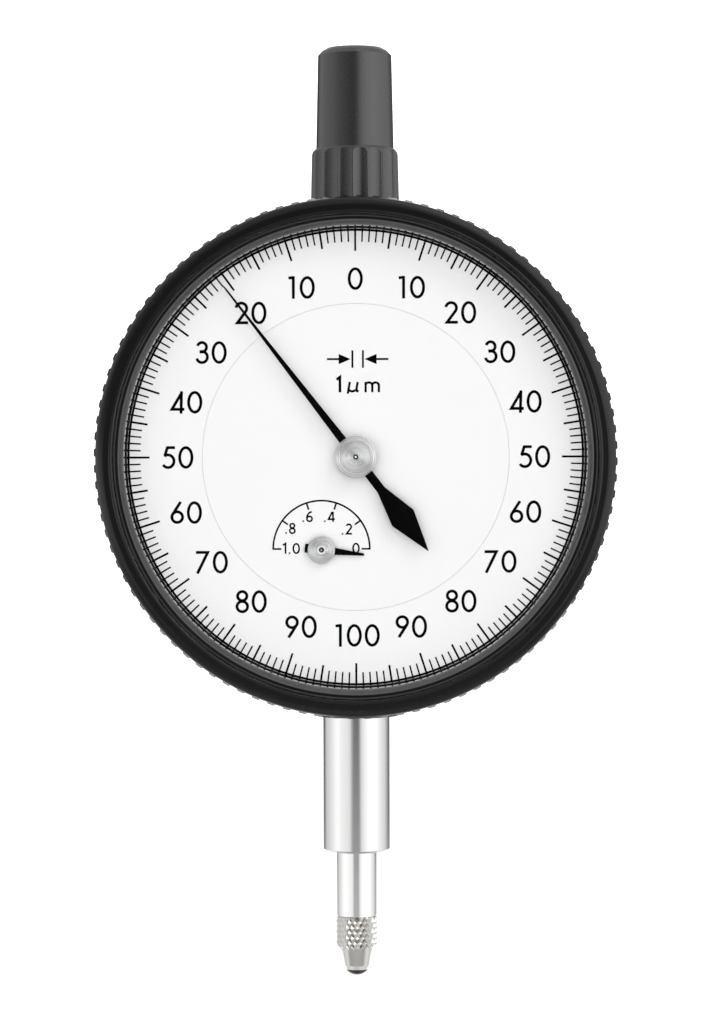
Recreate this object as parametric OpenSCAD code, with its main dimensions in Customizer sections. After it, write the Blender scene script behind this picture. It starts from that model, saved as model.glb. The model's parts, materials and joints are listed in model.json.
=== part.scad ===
// Dial indicator: 1 mm of spindle travel read to 0.001 mm, 0.2 mm to a turn of the pointer.
// +Z runs up the spindle, the dial faces -Y, and the origin is the centre of the stem's lower end.

/* [Stem and case] */
// Diameter of the mounting stem
stem_d = 8; // [6.6:0.1:9.6]
// Length of stem that a holder can clamp
stem_len = 16.2; // [12:0.1:22]
// Outer diameter of the case ring
case_d = 56.7; // [54:0.1:70]
// Wall of the case ring
case_wall = 1.8; // [1.4:0.1:2.2]
// How far the stem's boss stands out below the case ring
boss_drop = 2.65; // [1.5:0.05:4]
// Distance from the stem axis back to the flat back face
back_depth = 7.6; // [7.2:0.1:10]
// Thickness of the back cover
cover_t = 1.6; // [1.2:0.1:2]

/* [Spindle and contact point] */
// Diameter of the spindle
spindle_d = 4.8; // [4:0.1:5.8]
// Length of spindle below the stem when nothing lifts it
spindle_reach = 7.9; // [5:0.1:12]
// Travel of the spindle
travel = 1.05; // [0.8:0.05:1.3]
// Diameter over the knurl of the contact point
knurl_d = 5.04; // [4.4:0.02:6]
// Length of the contact point down to the tip of its ball
point_len = 7.1; // [5.5:0.1:9]
// Diameter of the contact ball
ball_d = 3.4; // [2.6:0.1:3.6]

/* [Gear train] */
// Module of the wheels and of the pinions they drive
wheel_module = 0.15; // [0.125:0.005:0.16]
// Pitch of the rack cut into the spindle
rack_pitch = 0.625; // [0.5:0.005:0.7]
// Leaves on the pinion that the rack turns
rack_leaves = 16; // [14:1:20]
// Teeth on the wheel beside that pinion
rack_wheel_teeth = 100; // [80:2:110]
// Leaves on the second and on the centre pinion
pinion_leaves = 14; // [12:1:16]
// Teeth on the second wheel
second_wheel_teeth = 98; // [80:2:110]
// Teeth on the wheel that turns the revolution counter
counter_wheel_teeth = 140; // [120:2:150]
// Direction of the second arbor from the centre arbor, degrees anticlockwise from the right
second_angle = 60; // [50:1:66]
// Direction of the counter arbor from the centre arbor
counter_angle = 249.6; // [240:0.1:256]
// Thickness of every wheel
wheel_t = 0.6; // [0.4:0.05:0.8]

/* [Dial and pointers] */
// Diameter of the fixed disc in the middle of the dial
centre_dial_d = 35.7; // [34:0.1:42]
// Thickness of the dial
dial_t = 0.4; // [0.3:0.05:0.6]
// Reach of the pointer's tip from its centre
pointer_reach = 24.6; // [20:0.1:26]
// Reach of the pointer's tail
tail_reach = 13.8; // [8:0.1:18]
// Rest angle of the pointer, degrees anticlockwise from the top
pointer_rest = 37.6; // [0:0.1:60]
// Diameter of the pointer's boss
pointer_boss_d = 4.9; // [3.6:0.1:6]
// Reach of the revolution counter's hand
small_reach = 5; // [4:0.1:6]
// Rest angle of that hand, degrees anticlockwise from the right
small_rest = -6.5; // [-12:0.5:0]
// Diameter of the small hand's boss
small_boss_d = 3.2; // [2.2:0.1:3.8]

/* [Bezel and crystal] */
// Wall of the bezel round the case, under the grip lobes
bezel_wall = 1.53; // [1.2:0.01:2.5]
// Height of a grip lobe
lobe_h = 0.32; // [0.2:0.02:0.4]
// Number of grip lobes
lobes = 100; // [60:2:120]
// Room for the pointers, from the dial to the crystal
crystal_rise = 2.9; // [2.8:0.1:6]
// Wall of the crystal's rim
crystal_rim = 1.4; // [1:0.05:1.8]
// Thickness of the crystal's window
crystal_t = 1.4; // [1:0.1:1.8]

/* [Cap] */
// Height of the cap
cap_h = 20; // [16:0.1:30]
// Diameter at the top of the cap
cap_d = 8.82; // [8:0.02:10]
// Diameter at the foot of the fluted collar
collar_d = 10.74; // [10:0.02:12]
// Height of the fluted collar
collar_h = 8; // [6:0.1:10]
// Number of flutes
flutes = 18; // [12:1:24]

/* [Fits] */
// Radial clearance of a shaft that runs in a bush or jewel
running_fit = 0.03; // [0.02:0.01:0.06]
// Radial clearance of a piece pressed or screwed into another
seat_fit = 0.01; // [0.01:0.01:0.03]
// Gap between faces that pass each other without touching
air_gap = 0.3; // [0.2:0.05:0.4]
// Amount by which each gear tooth is thinned
tooth_thin = 0.02; // [0.01:0.005:0.03]

/* [Hidden] */
$fa = 3;
$fs = 0.06;
eps = 0.01;

black_plastic = [0.16, 0.16, 0.17];
black_paint = [0.1, 0.1, 0.11];
steel = [0.8, 0.81, 0.82];
brass = [0.83, 0.7, 0.38];
dial_white = [0.95, 0.95, 0.94];
ruby = [0.75, 0.12, 0.25];
rubber = [0.12, 0.12, 0.12];

// The case. Places on the dial are [across, up, forward], from the point where the
// pointer's axis crosses the spindle's axis.
case_r = case_d / 2;
case_in_r = case_r - case_wall;
dial_z = case_r + boss_drop + stem_len;
cover_face = cover_t - back_depth;
spigot_t = 0.8;
spigot_face = cover_face + spigot_t;
stem_r = stem_d / 2;
spindle_r = spindle_d / 2;
spigot_r = stem_r - 0.3;
spigot_len = 4.8;
bush_r = spindle_r + 0.5;
bush_len = 6;
boss_r = -spigot_face - 0.1;
boss_inner = case_r - 3.5;
cap_seat = case_r + 0.7;
neck_r = spindle_r + 0.8;
neck_len = 7;
spindle_top = dial_z + cap_seat + neck_len + 2.2;

// Layers of the movement, forward of the spindle
rear_plate_f = spindle_r + 0.4;
plate_t = 1;
layer_a = rear_plate_f + plate_t + 0.4;
layer_b = layer_a + wheel_t + 0.8;
front_plate_f = layer_b + wheel_t + 1;
deck_f = front_plate_f + plate_t;
deck_t = 1.2;
dial_seat = 0.3;
dial_f = deck_f + deck_t + dial_seat;
dial_face = dial_f + dial_t;
pinion_len = wheel_t + 0.4;
shake = 0.1;

// The rack, and the arbors that its motion reaches
pressure_angle = 20;
rack_module = rack_pitch / PI;
rack_pinion_r = rack_module * rack_leaves / 2;
rack_addendum = 0.85 * rack_module;
rack_dedendum = 1.2 * rack_module;
rack_flat = 0.52;
rack_tip_x = spindle_r - rack_flat;
rack_line_x = rack_tip_x - rack_addendum;
rack_root_x = rack_line_x - rack_dedendum;
rack_gap_count = 17;
second_distance = wheel_module * (second_wheel_teeth + pinion_leaves) / 2;
first_distance = wheel_module * (rack_wheel_teeth + pinion_leaves) / 2;
counter_distance = wheel_module * (counter_wheel_teeth + pinion_leaves) / 2;
centre_at = [0, 0];
second_at = polar(second_distance, second_angle);
counter_at = polar(counter_distance, counter_angle);
rack_x = rack_line_x + rack_pinion_r;
rack_up = second_at[1] + sqrt(pow(first_distance, 2) - pow(rack_x - second_at[0], 2));
rack_at = [rack_x, rack_up];
first_angle = atan2(second_at[1] - rack_at[1], second_at[0] - rack_at[0]);

// Rest angles that put every pair of teeth in mesh
second_pinion_turn = mesh_turn(0, first_angle, rack_wheel_teeth, pinion_leaves);
centre_pinion_turn = mesh_turn(0, second_angle + 180, second_wheel_teeth, pinion_leaves);
counter_wheel_turn = mesh_turn(centre_pinion_turn, counter_angle, pinion_leaves, counter_wheel_teeth);

// Arbors and jewels
shaft_r = 0.55;
pivot_r = 0.3;
pivot_taper = 0.35;
jewel_r = 0.8;
jewel_t = 0.5;
wheel_hub_r = 1.2;

// What holds the movement together
pillar_r = 1.2;
tenon_r = 0.6;
wheel_room = 2 + pillar_r;
pillar_at = [
    [-8.6 - pillar_r, second_at[1] - 2],
    [second_at[0] + second_distance + pillar_r - 0.6, second_at[1] - 4.2],
    [rack_at[0] - first_distance - wheel_room, rack_at[1] + 1],
    counter_at + polar(wheel_module * counter_wheel_teeth / 2 + wheel_room, 8)];
plate_screw_r = 0.5;
front_plate_r = case_in_r - 5.2;
movement_screw_at = [for (a = [8, 132, 308]) polar(front_plate_r - 1.9, a)];
movement_shank_r = 0.7;
cover_screw_r = case_in_r - 1.8;
cover_screw_at = [for (a = [45:90:315]) polar(cover_screw_r, a)];
cover_shank_r = 0.8;
cover_head_r = 1.7;
cover_sink = 0.9;
gasket_in_r = case_in_r + 0.35;
gasket_out_r = case_r - 0.55;
gasket_groove = 0.6;
cover_post_r = 2.2;
cock_f = -spindle_r - 0.5 - plate_t;
cock_post_x = rack_at[0] + 5.2;
cock_posts = [for (side = [-1, 1]) [cock_post_x, rack_at[1] + 2.6 * side]];
cock_post_r = 1.1;
cock_eye_d = 4;
dial_foot_r = 0.5;
dial_feet = [for (side = [-1, 1]) [15.6 * side, 0]];

// The guide pin crosses the spindle: its left end slides in the guide rail and the
// spring pulls down on its right end.
pin_r = 0.6;
pin_up = -8;
rail_x = [-9.4, -5.2];
rail_wall = 0.8;
rail_up = [pin_up - 3.4, pin_up + 3.4 + travel];
rail_mid = (rail_x[0] + rail_x[1]) / 2;
peg_r = 0.5;
rail_pegs = [[rail_mid, rail_up[0] + 1.4], [rail_mid, rail_up[1] - 1.4]];
spring_x = 6;
spring_coil_r = 1.05;
spring_wire_r = 0.16;
spring_turns = 11;
post_up = -20;
post_r = 0.7;
post_at = [spring_x, post_up];
hairspring_r = 4.3;
hairspring_f = layer_a + 0.1;
hairspring_turns = 4.5;
strip_t = 0.12;
strip_h = 0.45;
stud_at = counter_at + [hairspring_r + 0.45, 0];
stud_r = 0.42;
stud_peg_r = 0.3;

// Bezel, crystal and dial ring turn together on the case
bezel_in_r = case_r + air_gap;
bezel_core_r = bezel_in_r + bezel_wall;
bezel_r = bezel_core_r + lobe_h;
bezel_rear = deck_f - 2.2;
crystal_r = case_r - 0.25;
wall_top = deck_f + 0.5;
ledge_f = wall_top + air_gap;
ledge_r = case_in_r + 0.6;
wire_r = 0.5;
wire_f = bezel_rear + 1.4;
wire_ring_r = case_r + 0.15;
groove_w = 2 * wire_r + 0.2;
gasket_t = 0.9;
gasket_f = dial_face + 1.4;
window_rear = dial_face + crystal_rise;
window_front = window_rear + crystal_t;
bezel_front = window_front + 0.6;
band_f = [bezel_rear + 0.8, bezel_front - 1.3];

// Pointers
hand_t = 0.2;
pointer_f = window_rear - 1.5;
boss_t = 0.6;
pointer_eye_r = 0.8;
small_f = dial_face + 0.4;
small_boss_t = 0.45;
small_eye_r = 0.55;
tip_drop = 0.1;

// The contact point's heights are measured up from the tip of its ball
point_tip = -spindle_reach - point_len;
knurl_r = knurl_d / 2;
knurl_len = 0.47 * point_len;
knurl_depth = 0.3;
diamonds = 22;
diamond_lean = 30;
stud_d = 2.44;
stud_len = 4.4;

// The cap
cap_foot = dial_z + cap_seat;
cap_roof = 1.8;
cap_room = 0.68;
flute_depth = 0.3;

function polar(r, a) = [r * cos(a), r * sin(a)];
function involute(a) = tan(a) * 180 / PI - a;

// Turn of a driven gear whose teeth enter the gaps of a gear turned by `turn`,
// where `line` is the direction from the first gear's centre to the second's.
function mesh_turn(turn, line, teeth_a, teeth_b) =
    line + 180 - (turn - line) * teeth_a / teeth_b + 180 / teeth_b;

// Half the angle that a tooth spans at radius r. Inside the base circle the flank is radial.
function tooth_half(teeth, m, r) =
    let (pitch_r = m * teeth / 2, base_r = pitch_r * cos(pressure_angle))
    90 / teeth - tooth_thin / 2 / pitch_r * 180 / PI
    + involute(pressure_angle) - involute(acos(min(1, base_r / r)));

// Radii at which a flank is drawn, from root to tip
function flank_radii(teeth, m, addendum, dedendum) =
    let (pitch_r = m * teeth / 2, base_r = pitch_r * cos(pressure_angle), root_r = pitch_r - dedendum)
    base_r > root_r ? [root_r, base_r, pitch_r, pitch_r + addendum]
    : [root_r, pitch_r, pitch_r + addendum];

// Outline of a gear with a tooth on the +X axis
module gear_outline(teeth, m, addendum, dedendum) {
    radii = flank_radii(teeth, m, addendum, dedendum);
    last = len(radii) - 1;
    polygon([for (k = [0:teeth - 1]) for (side = [-1, 1]) for (i = [0:last])
        let (r = radii[side < 0 ? i : last - i])
        polar(r, 360 * k / teeth + side * tooth_half(teeth, m, r))]);
}

// Stands its children on the dial: x across, y up, z forward
module on_dial() {
    translate([0, 0, dial_z]) rotate([90, 0, 0]) children();
}

// A round bar along the pointer's axis
module bar(at, r, from, to) {
    translate([at[0], at[1], from]) cylinder(r = r, h = to - from);
}

// A bar in outline between two points, with a round eye at each end
module link(a, b, eye_d) {
    run = b - a;
    w = 0.8 * eye_d;
    translate(a) circle(d = eye_d);
    translate(b) circle(d = eye_d);
    translate(a) rotate(atan2(run[1], run[0])) translate([0, -w / 2]) square([norm(run), w]);
}

// A slotted screw along the pointer's axis, driven from behind: its head starts at `top`
// and its shank runs forward
module screw(at, top, head_r, head_t, shank_r, shank_len) {
    translate([at[0], at[1], top])
        difference() {
            union() {
                cylinder(r = head_r, h = head_t);
                cylinder(r = shank_r, h = head_t + shank_len);
            }
            translate([-head_r, -0.15 * head_r, -eps]) cube([2 * head_r, 0.3 * head_r, head_t / 2]);
        }
}

// A wheel: toothed rim, hub and four arms
module wheel(at, teeth, from, turn) {
    addendum = 0.8 * wheel_module;
    dedendum = 1.2 * wheel_module;
    rim_r = wheel_module * teeth / 2 - dedendum - 0.6;
    arm = 0.8;
    translate([at[0], at[1], from]) linear_extrude(wheel_t) difference() {
        rotate(turn) gear_outline(teeth, wheel_module, addendum, dedendum);
        difference() {
            circle(r = rim_r);
            circle(r = wheel_hub_r + 0.6);
            square([2 * rim_r + 1, arm], center = true);
            square([arm, 2 * rim_r + 1], center = true);
        }
        circle(r = shaft_r + seat_fit);
    }
}

// A pinion cut on its arbor, with a pivot at each end
module arbor(at, leaves, m, leaf_from, leaf_len, turn, rear, front, tip) {
    if (leaves > 0) translate([at[0], at[1], leaf_from]) linear_extrude(leaf_len)
        rotate(turn) gear_outline(leaves, m, m, m);
    bar(at, shaft_r, rear + shake, front - shake);
    bar(at, pivot_r, rear - 0.8, tip - pivot_taper);
    translate([at[0], at[1], tip - pivot_taper - eps])
        cylinder(r1 = pivot_r, r2 = pivot_r / 2, h = pivot_taper + eps);
}

// --- Case and what is fixed to it ---

module case() {
    color(black_paint) difference() {
        union() {
            on_dial() case_ring();
            translate([0, 0, stem_len]) cylinder(r = boss_r, h = dial_z - boss_inner - stem_len);
            translate([0, 0, dial_z + boss_inner]) cylinder(r = boss_r, h = cap_seat - boss_inner);
        }
        // Bores for the stem and for the neck under the cap
        translate([0, 0, stem_len - eps])
            cylinder(r = spigot_r + seat_fit, h = dial_z - boss_inner - stem_len + 1);
        translate([0, 0, dial_z + boss_inner - 1])
            cylinder(r = spigot_r + seat_fit, h = cap_seat - boss_inner + 2);
        on_dial() {
            bar(counter_at, 1.1, deck_f - eps, dial_f + eps);
            for (at = dial_feet) bar(at, dial_foot_r + seat_fit, deck_f - eps, dial_f + eps);
            for (at = movement_screw_at)
                bar(at, movement_shank_r + seat_fit, deck_f - eps, dial_f + eps);
            for (at = cover_screw_at)
                bar(at, cover_shank_r + seat_fit, spigot_face - eps, spigot_face + 4.5);
        }
    }
}

// Wall, deck, the dial's seat, the grooves for gasket and retaining ring, and the cover's posts
module case_ring() {
    groove_floor = wire_ring_r - wire_r - 0.1;
    deck_top = dial_f - dial_seat;
    seat_outer = centre_dial_d / 2 - 0.5;
    seat_inner = seat_outer - 4.3;
    rotate_extrude() polygon([
        [case_in_r, cover_face], [gasket_in_r, cover_face], [gasket_in_r, cover_face + gasket_groove],
        [gasket_out_r, cover_face + gasket_groove], [gasket_out_r, cover_face], [case_r, cover_face],
        [case_r, wire_f - groove_w / 2], [groove_floor, wire_f - groove_w / 2],
        [groove_floor, wire_f + groove_w / 2], [case_r, wire_f + groove_w / 2],
        [case_r, wall_top - 0.2], [case_r - 0.2, wall_top], [case_in_r + 0.2, wall_top],
        [case_in_r + 0.2, deck_top], [seat_outer, deck_top], [seat_outer, dial_f],
        [seat_inner, dial_f], [seat_inner, deck_top], [1.5, deck_top], [1.5, deck_f],
        [case_in_r, deck_f]]);
    intersection() {
        for (at = cover_screw_at) bar(at, cover_post_r, spigot_face, deck_f + eps);
        bar(centre_at, case_r - case_wall / 2, spigot_face - 1, deck_f + 1);
    }
}

module stem() {
    color(steel) rotate_extrude() polygon([
        [bush_r, 0.3], [bush_r + 0.3, 0], [stem_r - 0.25, 0], [stem_r, 0.25], [stem_r, stem_len],
        [spigot_r, stem_len], [spigot_r, stem_len + spigot_len], [bush_r, stem_len + spigot_len]]);
}

// Two sleeves that guide the spindle, one at each end of the stem
module spindle_bushes() {
    color(brass) for (z = [0.4, stem_len + spigot_len - 0.2 - bush_len]) translate([0, 0, z]) difference() {
        cylinder(r = bush_r - seat_fit, h = bush_len);
        translate([0, 0, -eps]) cylinder(r = spindle_r + running_fit, h = bush_len + 1);
    }
}

// Upper guide of the spindle, with the thread for the cap
module top_neck() {
    thread_pitch = 0.5;
    color(steel) translate([0, 0, dial_z]) difference() {
        union() {
            translate([0, 0, boss_inner]) cylinder(r = spigot_r, h = cap_seat - boss_inner);
            rotate_extrude() polygon(concat(
                [[0, cap_seat - 1], [neck_r, cap_seat - 1]],
                [for (k = [0:10]) for (p = [[0, 0], [0.2, thread_pitch / 2], [0, thread_pitch]])
                    [neck_r - p[0], cap_seat + 1 + k * thread_pitch + p[1]]],
                [[neck_r - 0.3, cap_seat + neck_len], [0, cap_seat + neck_len]]));
        }
        translate([0, 0, boss_inner - 1]) cylinder(r = spindle_r + running_fit, h = cap_seat + neck_len);
    }
}

module back_cover() {
    rear = -back_depth;
    rim_r = case_in_r - 0.1;
    step_r = cover_screw_r - cover_post_r;
    color(steel) on_dial() difference() {
        rotate_extrude() polygon([[0, rear], [case_r - 0.5, rear], [case_r, rear + 0.5], [case_r, cover_face],
            [rim_r, cover_face], [rim_r, spigot_face], [step_r, spigot_face], [step_r, cover_face],
            [0, cover_face]]);
        for (at = cover_screw_at) {
            bar(at, cover_shank_r + 0.25, rear - 1, spigot_face + 1);
            bar(at, cover_head_r + 0.15, rear - 1, rear + cover_sink);
        }
    }
}

module cover_gasket() {
    color(rubber) on_dial() rotate_extrude() translate([gasket_in_r + 0.05, cover_face])
        square([gasket_out_r - gasket_in_r - 0.1, gasket_groove - 0.05]);
}

module cover_screws() {
    head_t = cover_sink - 0.1;
    color(steel) on_dial() for (at = cover_screw_at)
        screw(at, 0.1 - back_depth, cover_head_r, head_t, cover_shank_r, cover_t + 2.6);
}

module front_plate() {
    color(brass) on_dial() translate([0, 0, front_plate_f]) linear_extrude(plate_t) difference() {
        circle(r = front_plate_r);
        for (at = [centre_at, second_at, counter_at, rack_at]) translate(at) circle(r = jewel_r + seat_fit);
        for (at = movement_screw_at) translate(at) circle(r = movement_shank_r + 0.05);
        for (at = pillar_at) translate(at) circle(r = tenon_r + seat_fit);
    }
}

module movement_screws() {
    head_t = 0.7;
    color(steel) on_dial() for (at = movement_screw_at)
        screw(at, front_plate_f - head_t, 1.3, head_t, movement_shank_r, plate_t + deck_t - 0.1);
}

module pillars() {
    color(steel) on_dial() for (at = pillar_at) difference() {
        union() {
            bar(at, pillar_r, rear_plate_f + plate_t, front_plate_f);
            bar(at, tenon_r, front_plate_f - eps, deck_f);
        }
        bar(at, plate_screw_r + seat_fit, rear_plate_f, rear_plate_f + plate_t + 2);
    }
}

// Skeleton plate behind the wheels
module rear_plate() {
    links = [
        [pillar_at[0], centre_at], [centre_at, pillar_at[3]], [centre_at, counter_at],
        [centre_at, second_at], [second_at, pillar_at[1]], [second_at, rack_at],
        [rack_at, pillar_at[2]], [rack_at, [cock_post_x, rack_at[1]]], cock_posts,
        [pillar_at[0], rail_pegs[0] - [0, 0.4]]];
    color(brass) on_dial() translate([0, 0, rear_plate_f]) linear_extrude(plate_t) difference() {
        union() {
            for (ends = links) link(ends[0], ends[1], cock_eye_d);
            link(pillar_at[0], pillar_at[2], 3.4);
            link(counter_at, [rail_mid, counter_at[1]], 3.4);
            link(counter_at, stud_at, 2.4);
            link(pillar_at[3], post_at, 2.8);
        }
        for (at = [centre_at, second_at, counter_at]) translate(at) circle(r = jewel_r + seat_fit);
        translate(rack_at) circle(r = 1);
        for (at = pillar_at) translate(at) circle(r = plate_screw_r + 0.1);
        for (at = cock_posts) translate(at) circle(r = tenon_r + seat_fit);
        for (at = concat(rail_pegs, [post_at])) translate(at) circle(r = peg_r + seat_fit);
        translate(stud_at) circle(r = stud_peg_r + seat_fit);
    }
}

module plate_screws() {
    color(steel) on_dial() for (at = pillar_at)
        screw(at, rear_plate_f - 0.6, 1.1, 0.6, plate_screw_r, plate_t + 1.6);
}

// Cock behind the spindle that holds the rear pivot of the rack pinion
module rack_cock() {
    color(brass) on_dial() translate([0, 0, cock_f]) linear_extrude(plate_t) difference() {
        union() {
            link(rack_at, [cock_post_x, rack_at[1]], 0.8 * cock_eye_d);
            link(cock_posts[0], cock_posts[1], 0.8 * cock_eye_d);
        }
        translate(rack_at) circle(r = jewel_r + seat_fit);
        for (at = cock_posts) translate(at) circle(r = plate_screw_r + 0.1);
    }
}

module cock_pillars() {
    color(steel) on_dial() for (at = cock_posts) difference() {
        union() {
            bar(at, cock_post_r, cock_f + plate_t, rear_plate_f);
            bar(at, tenon_r, rear_plate_f - eps, rear_plate_f + plate_t);
        }
        bar(at, plate_screw_r + seat_fit, cock_f, cock_f + plate_t + 2);
    }
}

module cock_screws() {
    color(steel) on_dial() for (at = cock_posts)
        screw(at, cock_f - 0.6, cock_post_r, 0.6, plate_screw_r, plate_t + 1.6);
}

// Eight pierced jewels, flush with the faces that look at the wheels
module jewels() {
    color(ruby) on_dial() {
        for (at = [centre_at, second_at, counter_at, rack_at]) jewel(at, front_plate_f);
        for (at = [centre_at, second_at, counter_at]) jewel(at, rear_plate_f + plate_t - jewel_t);
        jewel(rack_at, cock_f + plate_t - jewel_t);
    }
}

module jewel(at, from) {
    difference() {
        bar(at, jewel_r, from, from + jewel_t);
        bar(at, pivot_r + running_fit, from - 1, from + jewel_t + 1);
    }
}

// Slotted block on the back of the rear plate that keeps the spindle from turning
module guide_rail() {
    half = pin_r + 1.2;
    slot = pin_r + running_fit;
    size = [rail_x[1] - rail_x[0], rail_up[1] - rail_up[0]];
    color(steel) on_dial() {
        difference() {
            translate([rail_x[0], rail_up[0], -half]) cube([size[0], size[1], rear_plate_f + half]);
            translate([rail_x[0] + rail_wall, rail_up[0] - 1, -slot]) cube([size[0], size[1] + 2, 2 * slot]);
        }
        for (at = rail_pegs) bar(at, peg_r, rear_plate_f - 0.5, rear_plate_f + plate_t);
    }
}

module spring_post() {
    color(steel) on_dial() {
        bar(post_at, post_r, -0.9, rear_plate_f);
        bar(post_at, peg_r, rear_plate_f - 0.5, rear_plate_f + plate_t);
        bar(post_at, post_r + 0.3, -1.4, -0.9);
    }
}

// Point on the tension spring's coil, `turn` turns up from its foot
function coil_point(turn, length) =
    let (a = 360 * turn, tilt = 360 / 6)
    [for (k = [0:5]) let (r = spring_coil_r + spring_wire_r * cos(k * tilt))
        [spring_x + r * cos(a), r * sin(a), turn / spring_turns * length + spring_wire_r * sin(k * tilt)]];

module tension_spring() {
    foot = dial_z + post_up + post_r + air_gap / 2 + spring_wire_r;
    head = dial_z + pin_up - pin_r - air_gap / 2 - spring_wire_r;
    steps = spring_turns * 12;
    rings = [for (i = [0:steps]) coil_point(i / 12, head - foot)];
    color(steel) translate([0, 0, foot]) polyhedron(
        points = [for (ring = rings) for (p = ring) p],
        faces = concat(
            [[for (k = [0:5]) k]],
            [[for (k = [5:-1:0]) 6 * steps + k]],
            [for (i = [0:steps - 1]) for (k = [0:5]) let (n = (k + 1) % 6)
                [6 * i + k, 6 * (i + 1) + k, 6 * (i + 1) + n, 6 * i + n]]));
}

// Flat spiral that takes up the play of the wheels
module hairspring() {
    steps = 20 * hairspring_turns;
    inner = wheel_hub_r + 0.12 + strip_t;
    path = [for (i = [0:steps])
        [inner + (hairspring_r - inner) * i / steps, 360 * hairspring_turns * (i / steps - 1)]];
    color(steel) on_dial() translate([counter_at[0], counter_at[1], hairspring_f]) linear_extrude(strip_h)
        polygon(concat(
            [for (p = path) polar(p[0], p[1])],
            [for (i = [steps:-1:0]) polar(path[i][0] - strip_t, path[i][1])]));
}

module hairspring_stud() {
    color(brass) on_dial() difference() {
        union() {
            bar(stud_at, stud_r, rear_plate_f + plate_t, hairspring_f + strip_h + 0.2);
            bar(stud_at, stud_peg_r, rear_plate_f, rear_plate_f + plate_t + 0.5);
        }
        translate([stud_at[0] - 1, stud_at[1] - 0.1, hairspring_f - 0.1]) cube([0.9, 0.2, strip_h + 0.5]);
    }
}

// Fixed disc with the counter's scale, on two feet in the deck
module centre_dial() {
    color(dial_white) on_dial() {
        translate([0, 0, dial_f]) linear_extrude(dial_t) difference() {
            circle(d = centre_dial_d);
            circle(r = 1.1);
            translate(counter_at) circle(r = 0.8);
        }
        for (at = dial_feet) bar(at, dial_foot_r, deck_f + 0.2, dial_f + eps);
    }
}

// Sprung wire ring that keeps the bezel on the case and makes it turn stiffly
module retaining_ring() {
    color(steel) on_dial() translate([0, 0, wire_f]) rotate([0, 0, 100]) rotate_extrude(angle = 340)
        translate([wire_ring_r, 0]) circle(r = wire_r);
}

// --- Spindle and what moves with it ---

module spindle() {
    bottom = -spindle_reach;
    top = spindle_top;
    color(steel) difference() {
        rotate_extrude() polygon([[0, bottom], [spindle_r - 0.15, bottom], [spindle_r, bottom + 0.15],
            [spindle_r, top - 0.4], [spindle_r - 0.4, top], [0, top]]);
        rack_cut();
        translate([0, 0, bottom - eps]) cylinder(d = stud_d + 0.06, h = stud_len + 0.6);
        translate([-spindle_r - 1, 0, dial_z + pin_up]) rotate([0, 90, 0])
            cylinder(r = pin_r + seat_fit, h = spindle_d + 2);
        translate([0, 0, top - 3]) cylinder(r = 1, h = 4);
    }
}

// Everything that the rack cutter takes away, with a gap facing the pinion's centre
module rack_cut() {
    slope = tan(pressure_angle);
    tip_half = rack_pitch / 4 - tooth_thin / 2 - rack_addendum * slope;
    root_half = rack_pitch / 4 - tooth_thin / 2 + rack_dedendum * slope;
    half_span = (rack_gap_count + 1) / 2 * rack_pitch;
    outside = spindle_r + 1;
    translate([0, 0, dial_z + rack_up]) rotate([90, 0, 0]) linear_extrude(spindle_d + 1, center = true)
        polygon(concat(
            [[outside, -half_span], [rack_root_x, -half_span]],
            [for (k = [0:rack_gap_count - 1]) let (z = (k - (rack_gap_count - 1) / 2 + 0.5) * rack_pitch)
                if (k < rack_gap_count - 1) for (p = [[rack_root_x, -root_half], [rack_tip_x, -tip_half],
                    [rack_tip_x, tip_half], [rack_root_x, root_half]]) [p[0], z + p[1]]],
            [[rack_root_x, half_span], [outside, half_span]]));
}

module guide_pin() {
    reach = -rail_x[0] - 1.1;
    color(steel) translate([-reach, 0, dial_z + pin_up]) rotate([0, 90, 0])
        cylinder(r = pin_r, h = reach + spring_x + spring_coil_r + 0.3);
}

// Knurled holder of the contact ball, on a stud that screws into the spindle. The knurl is
// cut first and the holder is then turned to its outline, so the diamonds end on the cone.
module contact_point() {
    top = -spindle_reach;
    ball_r = ball_d / 2;
    shown = 0.23 * ball_d;
    nose = point_tip + shown;
    mouth_r = sqrt(shown * (ball_d - shown)) + 0.07;
    knurl_end = top - knurl_len;
    sleeve_end = knurl_end - 1;
    color(steel) difference() {
        union() {
            intersection() {
                union() {
                    diamond_knurl(sleeve_end, top);
                    translate([0, 0, point_tip])
                        cylinder(r = knurl_r - knurl_depth - 0.03, h = 1 + sleeve_end - point_tip);
                }
                rotate_extrude() polygon([[0, nose], [mouth_r, nose], [mouth_r + 0.3, nose + 0.5],
                    [knurl_r - 0.22, knurl_end - 0.27], [knurl_r + eps, knurl_end],
                    [knurl_r + eps, top - 0.25], [knurl_r - 0.25, top - 0.02], [0, top - 0.02]]);
            }
            translate([0, 0, knurl_end]) cylinder(d = stud_d, h = knurl_len + stud_len);
        }
        translate([0, 0, point_tip + ball_r]) sphere(r = ball_r + seat_fit);
    }
}

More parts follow.
